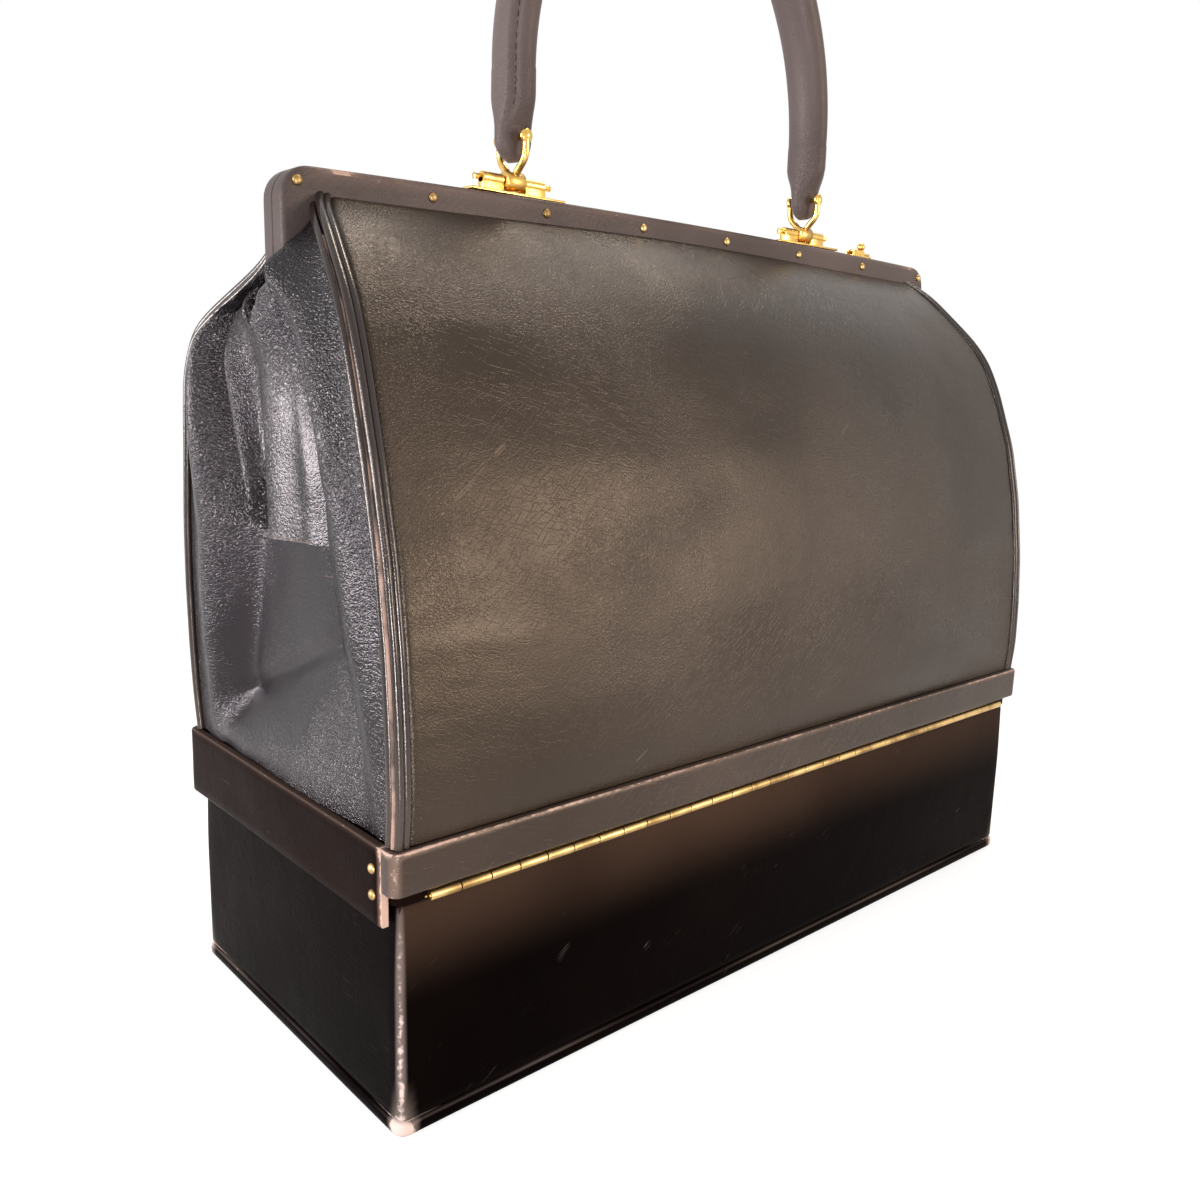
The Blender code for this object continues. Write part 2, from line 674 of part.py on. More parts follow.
def jaw_core(name, side):
    """A jaw's metal bow, its rivets and its pierced eyes. side is 1 at the back, -1 at the front."""
    leg_foot = PIVOT_Z + PIVOT_EYE_RADIUS / 2
    face = side * GAP / 2
    outer = side * JAW_FACE
    core = prism(name, [jaw_outline(0, leg_foot)], min(face, outer), max(face, outer), "Y")
    middle = JAW_HALF_LENGTH - JAW_LEG_WIDTH / 2
    inside = JAW_HALF_LENGTH - JAW_LEG_WIDTH
    eyes = []
    clearances = []
    bores = []
    for end in (-1, 1):
        if side > 0:
            eye_span = (inside - PIVOT_EYE_PROUD, middle + OVERRUN)
            other_span = (middle - GAP / 2, JAW_HALF_LENGTH + OVERRUN)
        else:
            eye_span = (middle - OVERRUN, JAW_HALF_LENGTH + PIVOT_EYE_PROUD)
            other_span = (inside - OVERRUN, middle + GAP / 2)
        eye = sorted(end * value for value in eye_span)
        other = sorted(end * value for value in other_span)
        eyes.append(rod("eye", PIVOT_EYE_RADIUS, *eye, (0, PIVOT_Z), "X", 20))
        clearances.append(rod("eye_clearance", PIVOT_EYE_RADIUS + SWING_GAP, *other, (0, PIVOT_Z), "X", 20))
        bore = sorted((end * (inside - OVERRUN * 2), end * (JAW_HALF_LENGTH + OVERRUN * 2)))
        bores.append(rod("pivot_bore", PIVOT_BORE_RADIUS, *bore, (0, PIVOT_Z), "X", 12))
    core = combine(core, [merged("eyes", eyes)], "UNION")
    core = combine(core, [merged("clearances", clearances), merged("bores", bores)], "DIFFERENCE")
    foot = side * (JAW_FACE - JAW_CORE_THICKNESS / 2)
    face = side * (JAW_OUTER + GAP)
    rivets = [rivet_shape("jaw_rivet", foot, face, z, x, side, "Y") for x, z in rivet_places()]
    return combine(core, [merged("jaw_rivets", rivets)], "UNION")


def jaw_leather(name, side):
    """The leather facing on a jaw, pierced for the rivets, as far down as it shows."""
    foot = JAW_TOP - JAW_RAIL - JAW_LEATHER_LEG
    holes = [ring_points(place, RIVET_SHANK_RADIUS + GAP, RIVET_SIDES) for place in rivet_places()]
    low, high = sorted((side * (JAW_FACE + GAP), side * JAW_OUTER))
    return prism(name, [jaw_outline(JAW_LEATHER_INSET, foot), *holes], low, high, "Y")


def pivot_pin(name, end):
    """The headed pin that both legs turn on, at one end of the frame."""
    inside = JAW_HALF_LENGTH - JAW_LEG_WIDTH - PIVOT_EYE_PROUD - GAP
    inner_head = sorted((end * (inside - PIVOT_HEAD_HEIGHT), end * inside))
    body = sorted((end * (inside - PIVOT_HEAD_HEIGHT / 2), end * JAW_HALF_LENGTH))
    pin = rod(name, PIVOT_PIN_RADIUS, *body, (0, PIVOT_Z), "X", 12)
    head = rod("pin_head", PIVOT_HEAD_RADIUS, *inner_head, (0, PIVOT_Z), "X", 12)
    return combine(pin, [head], "UNION")


def build_frame():
    """Both jaws, their facings and the pins they turn on."""
    finish(jaw_core("back_jaw", 1), "brass")
    finish(jaw_core("front_jaw", -1), "brass")
    finish(jaw_leather("back_jaw_facing", 1), "frame_leather")
    finish(jaw_leather("front_jaw_facing", -1), "frame_leather")
    finish(pivot_pin("right_pivot_pin", 1), "steel")
    finish(pivot_pin("left_pivot_pin", -1), "steel")


# Soft upper bag


def seam_point(share, side):
    """The back (1) or front (-1) seam at a share of the soft height, as if on the +X, +Y corner."""
    out = 1 if side > 0 else 3
    return Vector((
        SEAM_HALF_WIDTH * between(PANEL_SHARES, share, out + 1),
        SEAM_HALF_DEPTH * between(PANEL_SHARES, share, out),
        SOFT_BOTTOM + SOFT_HEIGHT * share,
    ))


def seam_normal(share, side):
    """The seam's outward direction in Y and Z at a share of the soft height."""
    low = seam_point(max(share - SLOPE_SHARE, 0.0), side)
    high = seam_point(min(share + SLOPE_SHARE, 1.0), side)
    rise = high - low
    return Vector((0, rise.z, -rise.y)).normalized()


def build_panel(name, side):
    """A leather side panel, from the collar over its shoulder to the frame."""
    rows = []
    for share, *_ in PANEL_SHARES:
        seam = seam_point(share, side)
        normal = seam_normal(share, side)
        row = []
        for column in range(PANEL_COLUMNS + 1):
            across = 2 * column / PANEL_COLUMNS - 1
            x = across * (seam.x - PANEL_EDGE)
            swell = PANEL_CROWN * (1 - across * across) * math.sin(math.pi * share)
            lift = crown_at(x) * share ** 4 * (1 - across * across)
            point = seam + normal * (WELT_PROUD + swell)
            row.append((x, side * point.y, point.z + lift))
        rows.append(row)
    return shell(name, rows, LEATHER, (0, side, 0))


def welt(name, end, side):
    """The rolled edge where a side panel meets an end."""
    points = []
    for share, *_ in PANEL_SHARES[:-1]:
        seam = seam_point(share, side)
        points.append((end * seam.x, side * seam.y, seam.z))
    return tube(name, points, WELT_RADIUS)


def tongue_foot():
    """The tongue's lower edge as a share of the soft height."""
    return (TONGUE_BOTTOM - SOFT_BOTTOM) / SOFT_HEIGHT


def gusset_point(across, share):
    """A point of an end's outer surface: across is -1 at the front seam and 1 at the back seam."""
    side = 1 if across >= 0 else -1
    reach = abs(across)
    leg_edge = JAW_OUTER + HORN_CLEARANCE
    seam = seam_point(share, side)
    normal = seam_normal(share, side)
    edge = seam - normal * GUSSET_EDGE
    if reach <= LEG_SHARE:
        y = side * leg_edge * reach / LEG_SHARE
        top = TONGUE_TOP_Z
    else:
        part = (reach - LEG_SHARE) / (1 - LEG_SHARE)
        y = side * (leg_edge + (max(edge.y, leg_edge) - leg_edge) * part)
        top = TONGUE_TOP_Z + (SOFT_TOP - TONGUE_TOP_Z) * part
    foot = tongue_foot()
    z = SOFT_BOTTOM + SOFT_HEIGHT * share
    if share > foot:
        z = TONGUE_BOTTOM + (top - TONGUE_BOTTOM) * (share - foot) / (1 - foot)
    if reach == 1.0:
        z = edge.z if share < 1 else SOFT_TOP
    part = max(reach - LEG_SHARE, 0) / (1 - LEG_SHARE)
    over_leg = JAW_HALF_LENGTH + TONGUE_FACE
    side_x = max(edge.x, seam_point(PANEL_SHARES[-2][0], side).x) + WELT_PROUD
    plane = over_leg + (side_x - over_leg) * smooth(part)
    height = (z - SOFT_BOTTOM) / SOFT_HEIGHT
    drawn = GUSSET_RECESS * between(RECESS_SHARES, height, 1) * smooth((1 - reach) * 3)
    leg_height = (z - TONGUE_BOTTOM) / (TONGUE_TOP_Z - TONGUE_BOTTOM)
    if share >= foot:
        front = between(TONGUE_SHARES, leg_height, 1) * seam.y
        back = between(TONGUE_SHARES, leg_height, 2) * seam.y
        past_front = smooth((y - front + TONGUE_RAMP) / TONGUE_RAMP)
        before_back = smooth((back + TONGUE_RAMP - y) / TONGUE_RAMP)
        drawn *= 1 - past_front * before_back
    return plane - drawn, y, z


def build_gusset(name, end):
    """An end of the bag, drawn in below a leather tongue that covers the frame's legs."""
    half_shares = [0.08, 0.2, 0.33, 0.46, 0.6, 0.74, 0.88, 1]
    across_shares = [-share for share in reversed(half_shares)] + half_shares
    foot = tongue_foot()
    step = GUSSET_RECESS / SOFT_HEIGHT / 3
    low_shares = [0, 0.08, 0.17, 0.27, 0.36, foot - step, foot]
    high_shares = [0.53, 0.62, 0.72, 0.80, 0.86, 0.91, 0.945, 0.975, 1]
    rows = []
    for share in low_shares + high_shares:
        row = [gusset_point(across, share) for across in across_shares]
        rows.append([(end * x, y, z) for x, y, z in row])
    return shell(name, rows, LEATHER, (end, 0, 0))


def build_soft_bag():
    """The panels, the ends and the welts between them."""
    finish(build_panel("back_panel", 1), "leather")
    finish(build_panel("front_panel", -1), "leather")
    for end_name, end in (("right", 1), ("left", -1)):
        finish(build_gusset(end_name + "_gusset", end), "leather")
        for side_name, side in (("back", 1), ("front", -1)):
            finish(welt(side_name + "_" + end_name + "_welt", end, side), "leather")


# Handle


def mount_height():
    """The height of the plates that the handle's mounts stand on."""
    inner_end = crown_at(HANDLE_HALF_WIDTH - MOUNT_LENGTH / 2)
    corner = crown_at(JAW_HALF_LENGTH - JAW_CORNER)
    return JAW_TOP + inner_end - corner + GAP


def build_handle_mount(end_name, end):
    """A hinged brass mount: plate with two lugs, axle, shackle and the pin through the handle."""
    foot = mount_height()
    axis_z = foot + AXLE_RISE
    middle = end * HANDLE_HALF_WIDTH
    half = MOUNT_LENGTH / 2
    plate = box(
        end_name + "_handle_mount",
        (middle - half, -MOUNT_DEPTH / 2, foot),
        (middle + half, MOUNT_DEPTH / 2, foot + MOUNT_PLATE),
    )
    lug_start = SHACKLE_BOSS_LENGTH / 2 + SLIDE_GAP
    bore = ring_points((0, axis_z), AXLE_RADIUS + GAP, 10)
    lugs = []
    for way in (-1, 1):
        low, high = sorted((middle + way * lug_start, middle + way * (lug_start + MOUNT_LUG_LENGTH)))
        outline = arched(foot + MOUNT_PLATE / 2, axis_z, MOUNT_LUG_RADIUS)
        lugs.append(prism("lug", [outline, bore], low, high, "X"))
    finish(combine(plate, lugs, "UNION"), "brass")
    reach = lug_start + MOUNT_LUG_LENGTH
    axle = rod(end_name + "_handle_axle", AXLE_RADIUS, middle - reach, middle + reach, (0, axis_z), "X", 10)
    finish(axle, "brass")

    boss_half = SHACKLE_BOSS_LENGTH / 2
    boss = (middle - boss_half, middle + boss_half)
    shackle = rod(end_name + "_shackle", SHACKLE_BOSS_RADIUS, *boss, (0, axis_z), "X", 14)
    arms = []
    for side in (-1, 1):
        rise = HANDLE_PIN_Z - axis_z
        path = [
            (middle, side * SHACKLE_SPREAD * out, axis_z + rise * up) for up, out in SHACKLE_BOW_SHARES
        ]
        arms.append(baked(tube("arm", path, SHACKLE_WIRE_RADIUS, resolution=1)))
        low, high = sorted((
            side * (SHACKLE_SPREAD - SHACKLE_EYE_WIDTH / 2), side * (SHACKLE_SPREAD + SHACKLE_EYE_WIDTH / 2)
        ))
        arms.append(rod("eye", SHACKLE_EYE_RADIUS, low, high, (middle, HANDLE_PIN_Z), "Y", 12))
    shackle = combine(shackle, arms, "UNION")
    axle_bore = rod(
        "axle_bore", AXLE_RADIUS + GAP, middle - boss_half - OVERRUN, middle + boss_half + OVERRUN,
        (0, axis_z), "X", 10,
    )
    pin_reach = SHACKLE_SPREAD + SHACKLE_EYE_WIDTH / 2 + HANDLE_PIN_OVERHANG
    pin_bore = rod(
        "pin_bore", HANDLE_PIN_RADIUS + GAP, -pin_reach - OVERRUN, pin_reach + OVERRUN,
        (middle, HANDLE_PIN_Z), "Y", 10,
    )
    finish(combine(shackle, [axle_bore, pin_bore], "DIFFERENCE"), "brass")
    pin = rod(
        end_name + "_handle_pin", HANDLE_PIN_RADIUS, -pin_reach, pin_reach, (middle, HANDLE_PIN_Z), "Y", 10
    )
    finish(pin, "brass")


def handle_path():
    """The handle's middle line with its thickness shares, from one shoulder over the arch to the other."""
    straight = HANDLE_STRAIGHT_TOP - HANDLE_SHOULDER
    swell = HANDLE_MIDDLE_THICKNESS / HANDLE_HALF_THICKNESS
    arm = []
    for up, share in HANDLE_ARM_SHARES:
        arm.append(((HANDLE_HALF_WIDTH, 0, HANDLE_SHOULDER + straight * up), share))
    arch = []
    for index in range(HANDLE_ARCH_POINTS + 1):
        angle = math.pi * index / HANDLE_ARCH_POINTS
        point = (
            HANDLE_HALF_WIDTH * math.cos(angle),
            0,
            HANDLE_STRAIGHT_TOP + (HANDLE_TOP - HANDLE_STRAIGHT_TOP) * math.sin(angle),
        )
        arch.append((point, 1 + (swell - 1) * math.sin(angle)))
    other = [((-x, y, z), share) for (x, y, z), share in reversed(arm)]
    return arm + arch + other


def handle_tab(end):
    """The flat leather tab at an end of the grip, which the shackle's pin goes through."""
    centre = HANDLE_FOOT + HANDLE_TAB_WIDTH
    top = HANDLE_SHOULDER + HANDLE_HALF_THICKNESS
    middle = end * HANDLE_HALF_WIDTH
    outline = [(middle + HANDLE_TAB_WIDTH, top), (middle - HANDLE_TAB_WIDTH, top)]
    for step in range(9):
        angle = math.pi * (1 + step / 8)
        outline.append((
            middle + HANDLE_TAB_WIDTH * math.cos(angle),
            centre + HANDLE_TAB_WIDTH * math.sin(angle),
        ))
    return prism("handle_tab", [outline], -HANDLE_TAB_DEPTH, HANDLE_TAB_DEPTH, "Y")


def build_handle():
    """The oval leather grip with its cord core and its end tabs, pierced for the pins of the shackles."""
    path = handle_path()
    points = [point for point, share in path]
    shares = [share for point, share in path]
    grip = baked(tube("handle_grip", points, HANDLE_HALF_THICKNESS, shares, 3))
    grip.data.transform(Matrix.Diagonal((1, HANDLE_HALF_DEPTH / HANDLE_HALF_THICKNESS, 1, 1)))
    grip = combine(grip, [handle_tab(1), handle_tab(-1)], "UNION")
    feet = [(end * HANDLE_HALF_WIDTH, 0, HANDLE_FOOT - OVERRUN) for end in (1, -1)]
    hollow = baked(tube("grip_hollow", [feet[0], *points[1:-1], feet[1]], HANDLE_CORE_RADIUS + GAP, None, 1))
    ends = [(end * HANDLE_HALF_WIDTH, 0, HANDLE_FOOT + GAP) for end in (1, -1)]
    core = baked(tube("handle_core", [ends[0], *points[1:-1], ends[1]], HANDLE_CORE_RADIUS, None, 1))
    bores = []
    for end in (-1, 1):
        bores.append(rod(
            "pin_bore", HANDLE_PIN_RADIUS + GAP, -HANDLE_HALF_DEPTH - OVERRUN, HANDLE_HALF_DEPTH + OVERRUN,
            (end * HANDLE_HALF_WIDTH, HANDLE_PIN_Z), "Y", 10,
        ))
    bore_mesh = merged("pin_bores", bores)
    second = bore_mesh.copy()
    second.data = bore_mesh.data.copy()
    PARTS.objects.link(second)
    finish(combine(grip, [hollow, bore_mesh], "DIFFERENCE"), "leather")
    finish(combine(core, [second], "DIFFERENCE"), "board")


# Closures


def build_catch():
    """The frame catch: a guide on the back jaw, a sliding hook with its peg, a stud on the front jaw."""
    crown = crown_at(CATCH_X) - crown_at(JAW_HALF_LENGTH - JAW_CORNER)
    foot = JAW_TOP + crown + GAP * 2
    half_plate = CATCH_PLATE_WIDTH / 2
    guide_half = half_plate + GAP + CATCH_GUIDE_WALL
    reach = CATCH_PLATE_LENGTH / 2 + CATCH_TRAVEL / 2
    guide_x = CATCH_X + CATCH_TRAVEL / 2
    floor = box(
        "catch_guide",
        (guide_x - reach, CATCH_CENTRE_Y - guide_half, foot),
        (guide_x + reach, CATCH_CENTRE_Y + guide_half, foot + CATCH_GUIDE_FLOOR),
    )
    plate_low = foot + CATCH_GUIDE_FLOOR + GAP
    plate_high = plate_low + CATCH_PLATE_THICKNESS
    wall_low = CATCH_X - CATCH_PLATE_LENGTH / 2 + CATCH_ARM_WIDTH + CATCH_TRAVEL + SLIDE_GAP
    wall_top = plate_high + GAP + CATCH_GUIDE_FLOOR
    walls = []
    for way in (-1, 1):
        out = CATCH_CENTRE_Y + way * guide_half
        inner = CATCH_CENTRE_Y + way * (half_plate + GAP)
        lip = CATCH_CENTRE_Y + way * (half_plate - CATCH_GUIDE_LIP)
        profile = [
            (out, foot + CATCH_GUIDE_FLOOR / 2), (out, wall_top), (lip, wall_top),
            (lip, plate_high + GAP), (inner, plate_high + GAP), (inner, foot + CATCH_GUIDE_FLOOR / 2),
        ]
        walls.append(prism("guide_wall", [profile], wall_low, guide_x + reach - GAP, "X"))
    finish(combine(floor, walls, "UNION"), "brass")

    slider = box(
        "catch_slider",
        (CATCH_X - CATCH_PLATE_LENGTH / 2, CATCH_CENTRE_Y - half_plate, plate_low),
        (CATCH_X + CATCH_PLATE_LENGTH / 2, CATCH_CENTRE_Y + half_plate, plate_high),
    )
    hook_y = CATCH_STUD_Y - CATCH_STUD_RADIUS - GAP
    arm_low = CATCH_X - CATCH_PLATE_LENGTH / 2
    arm = box(
        "hook_arm",
        (arm_low, hook_y - CATCH_ARM_WIDTH, plate_low),
        (arm_low + CATCH_ARM_WIDTH, CATCH_CENTRE_Y, plate_high),
    )
    finger = box(
        "hook_finger",
        (arm_low, hook_y - CATCH_ARM_WIDTH, plate_low),
        (arm_low + CATCH_FINGER_LENGTH, hook_y, plate_high),
    )
    peg = rod(
        "peg", CATCH_PEG_RADIUS, plate_low + CATCH_PLATE_THICKNESS / 2, plate_high + CATCH_PEG_HEIGHT,
        (CATCH_X, CATCH_CENTRE_Y), "Z", 10,
    )
    bm = bmesh.new()
    bmesh.ops.create_uvsphere(
        bm, u_segments=12, v_segments=8, radius=CATCH_BALL_RADIUS,
        matrix=Matrix.Translation((CATCH_X, CATCH_CENTRE_Y, plate_high + CATCH_PEG_HEIGHT)),
    )
    finish(combine(slider, [arm, finger, peg, mesh_object("ball", bm)], "UNION"), "brass")

    stud_x = arm_low + CATCH_FINGER_LENGTH + CATCH_STUD_RADIUS + SLIDE_GAP
    stud = rod(
        "catch_stud", CATCH_STUD_RADIUS, JAW_TOP + crown + GAP, plate_low + CATCH_STUD_HEIGHT,
        (stud_x, CATCH_STUD_Y), "Z", 10,
    )
    flange = rod(
        "stud_flange",
        CATCH_STUD_RADIUS * 2,
        JAW_TOP + crown + GAP,
        JAW_TOP + crown + GAP + CATCH_GUIDE_FLOOR,
        (stud_x, CATCH_STUD_Y), "Z", 10,
    )
    finish(combine(stud, [flange], "UNION"), "brass")


def build_case_lock():
    """The case lock: a notched body, a bolt with its thumb button, and the collar's tongue."""
    back = -HALF_Y - GAP
    front = back - LOCK_DEPTH
    tongue_back = -SKIRT_HALF_Y - GAP
    tongue_front = tongue_back - TONGUE_THICKNESS
    floor = tongue_back + GAP
    notch_half = TONGUE_HALF_WIDTH + SLIDE_GAP
    bolt_half = BOLT_HEIGHT / 2
    bolt_tip = notch_half + GAP
    bolt_end = bolt_tip + BOLT_LENGTH
    travel = bolt_travel()
    neck_low = bolt_tip + travel + GAP
    neck_high = neck_low + BOLT_NECK_LENGTH

    body = box("lock_body", (-LOCK_HALF_WIDTH, front, LOCK_BOTTOM), (LOCK_HALF_WIDTH, back, LOCK_TOP))
    notch = box(
        "lock_notch",
        (-notch_half, front - OVERRUN, TONGUE_FOOT - SLIDE_GAP),
        (notch_half, floor, LOCK_TOP + OVERRUN),
    )
    tunnel = box(
        "lock_tunnel",
        (notch_half - OVERRUN, tongue_front - GAP, BOLT_Z - bolt_half - GAP),
        (bolt_end + GAP, floor - GAP / 2, BOLT_Z + bolt_half + GAP),
    )
    slot = box(
        "lock_slot",
        (neck_low - travel - GAP, front - OVERRUN, BOLT_Z - BOLT_NECK_HEIGHT / 2 - GAP),
        (neck_high + GAP, floor - GAP, BOLT_Z + BOLT_NECK_HEIGHT / 2 + GAP),
    )
    finish(combine(body, [notch, tunnel, slot], "DIFFERENCE"), "brass")

    bolt = box(
        "lock_bolt",
        (bolt_tip, tongue_front, BOLT_Z - bolt_half),
        (bolt_end, floor - GAP, BOLT_Z + bolt_half),
    )
    neck = box(
        "bolt_neck",
        (neck_low, front - GAP - BUTTON_DEPTH / 2, BOLT_Z - BOLT_NECK_HEIGHT / 2),
        (neck_high, tongue_front + TONGUE_THICKNESS / 2, BOLT_Z + BOLT_NECK_HEIGHT / 2),
    )
    middle = (neck_low + neck_high) / 2
    button = box(
        "bolt_button",
        (middle - BUTTON_LENGTH / 2, front - GAP - BUTTON_DEPTH, BOLT_Z - BUTTON_HEIGHT / 2),
        (middle + BUTTON_LENGTH / 2, front - GAP, BOLT_Z + BUTTON_HEIGHT / 2),
    )
    finish(combine(bolt, [neck, button], "UNION"), "brass")

    tongue = box(
        "lock_tongue",
        (-TONGUE_HALF_WIDTH, tongue_front, TONGUE_FOOT),
        (TONGUE_HALF_WIDTH, tongue_back, TONGUE_TOP),
    )
    bite = box(
        "tongue_bite",
        (
            TONGUE_HALF_WIDTH - BOLT_BITE - BOLT_REST_CLEARANCE,
            tongue_front - OVERRUN,
            BOLT_Z - bolt_half - SLIDE_GAP,
        ),
        (TONGUE_HALF_WIDTH + OVERRUN, tongue_back + OVERRUN, BOLT_Z + bolt_half + SLIDE_GAP),
    )
    finish(combine(tongue, [bite], "DIFFERENCE"), "brass")


def bolt_travel():
    """How far the bolt slides to lock: across the notch's clearance and into the tongue's bite."""
    return SLIDE_GAP + GAP + BOLT_BITE


def set_joint(name, place, nodes):
    """Hang the named pieces from an empty that stands on their joint's axis."""
    pivot = bpy.data.objects.new(name, None)
    PARTS.objects.link(pivot)
    pivot.location = place
    for node in nodes:
        obj = bpy.data.objects[node]
        obj.data.transform(Matrix.Translation(-Vector(place)))
        obj.parent = pivot


def main():
    """Build every piece, then hang the moving ones from their axes."""
    build_case()
    build_hinge()
    build_collar()
    build_frame()
    build_soft_bag()
    build_handle_mount("right", 1)
    build_handle_mount("left", -1)
    build_handle()
    build_catch()
    build_case_lock()
    set_joint("front_jaw_axis", (0, 0, PIVOT_Z), ("front_jaw", "front_jaw_facing", "catch_stud"))
    swinging = ["handle_grip", "handle_core"]
    for end_name in ("right", "left"):
        swinging += [end_name + "_shackle", end_name + "_handle_pin"]
    set_joint("handle_axis", (0, 0, mount_height() + AXLE_RISE), swinging)


main()
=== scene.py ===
"""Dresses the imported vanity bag: worn black calf, brass fittings, cloth lining and a plain studio."""

import logging
import math
from dataclasses import dataclass
from enum import Enum
from typing import Callable, Optional, Sequence

import bmesh
import bpy
import numpy as np
from mathutils import Matrix, Vector, noise


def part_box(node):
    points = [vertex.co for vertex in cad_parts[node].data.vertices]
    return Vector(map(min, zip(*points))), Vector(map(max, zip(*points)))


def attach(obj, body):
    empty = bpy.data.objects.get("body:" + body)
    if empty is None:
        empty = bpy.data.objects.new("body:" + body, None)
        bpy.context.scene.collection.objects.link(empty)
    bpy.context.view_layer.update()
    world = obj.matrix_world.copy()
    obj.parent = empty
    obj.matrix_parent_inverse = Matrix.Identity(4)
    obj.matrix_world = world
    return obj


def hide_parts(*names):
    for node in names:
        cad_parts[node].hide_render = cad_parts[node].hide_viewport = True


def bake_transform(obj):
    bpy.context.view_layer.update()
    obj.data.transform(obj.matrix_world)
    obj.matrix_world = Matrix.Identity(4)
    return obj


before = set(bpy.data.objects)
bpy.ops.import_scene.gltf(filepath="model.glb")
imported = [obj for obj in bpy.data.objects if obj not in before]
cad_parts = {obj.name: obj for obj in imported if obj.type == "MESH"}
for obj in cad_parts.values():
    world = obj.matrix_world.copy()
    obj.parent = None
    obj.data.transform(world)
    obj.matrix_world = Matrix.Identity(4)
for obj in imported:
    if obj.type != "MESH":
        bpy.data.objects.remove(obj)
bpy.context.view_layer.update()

LOG = logging.getLogger("vanity_bag")

Colour = tuple[float, float, float]
Points = np.ndarray
Outline = Sequence[tuple[float, float]]
WearRule = Callable[[Points], Points]
Socket = bpy.types.NodeSocket
Material = bpy.types.Material
Piece = bpy.types.Object


class Body(Enum):
    """The CAD bodies that pieces ride on."""

    CASE = "lower_case"
    BAG = "upper_bag"
    JAW = "front_frame"
    HANDLE = "handle"
    CATCH = "catch"
    BOLT = "bolt"


class End(Enum):
    """The two ends of the bag along X."""

    RIGHT = 1
    LEFT = -1


class Side(Enum):
    """The hinged back and the front, along Y."""

    BACK = 1
    FRONT = -1


# Geometry


# turns that lay a turned solid's axis along X or Y
ALONG_X = Matrix.Rotation(math.pi / 2, 4, "Y")
ALONG_Y = Matrix.Rotation(math.pi / 2, 4, "X")


def eased(value: Points) -> Points:
    """Ease values from 0 to 1."""
    kept = np.clip(value, 0.0, 1.0)
    return kept * kept * (3 - 2 * kept)


def bell(value: Points, centre: float, width: float) -> Points:
    """A bump of height 1 about a centre."""
    return np.exp(-(((value - centre) / width) ** 2))


def smooth_curve(table: Sequence[tuple[float, ...]], column: int, at: Points) -> Points:
    """Read a column of a table as a soft curve.

    Args:
        table: rows whose first value is the place.
        column: the column to read.
        at: the places to read it at.

    Returns:
        The values, with the table's corners rounded off.
    """
    places = np.array([row[0] for row in table], float)
    values = np.array([row[column] for row in table], float)
    fine = np.linspace(places[0], places[-1], 401)
    line = np.interp(fine, places, values)
    reach = 18
    kernel = np.hanning(2 * reach + 1)
    kernel /= kernel.sum()
    head = 2 * line[0] - line[reach:0:-1]
    tail = 2 * line[-1] - line[-2:-reach - 2:-1]
    return np.interp(at, fine, np.convolve(np.concatenate([head, line, tail]), kernel, "valid"))


def ripple(points: Points, scale: float, seed: float) -> Points:
    """Soft noise from -1 to 1 at each point; scale is in waves per metre."""
    flat = points.reshape(-1, 3) * scale + seed
    values = [noise.noise(Vector(p)) for p in flat]
    return np.array(values).reshape(points.shape[:-1])


def add_object(name: str, data: object) -> Piece:
    """Make an object of that data and link it to the scene."""
    obj = bpy.data.objects.new(name, data)
    bpy.context.scene.collection.objects.link(obj)
    return obj


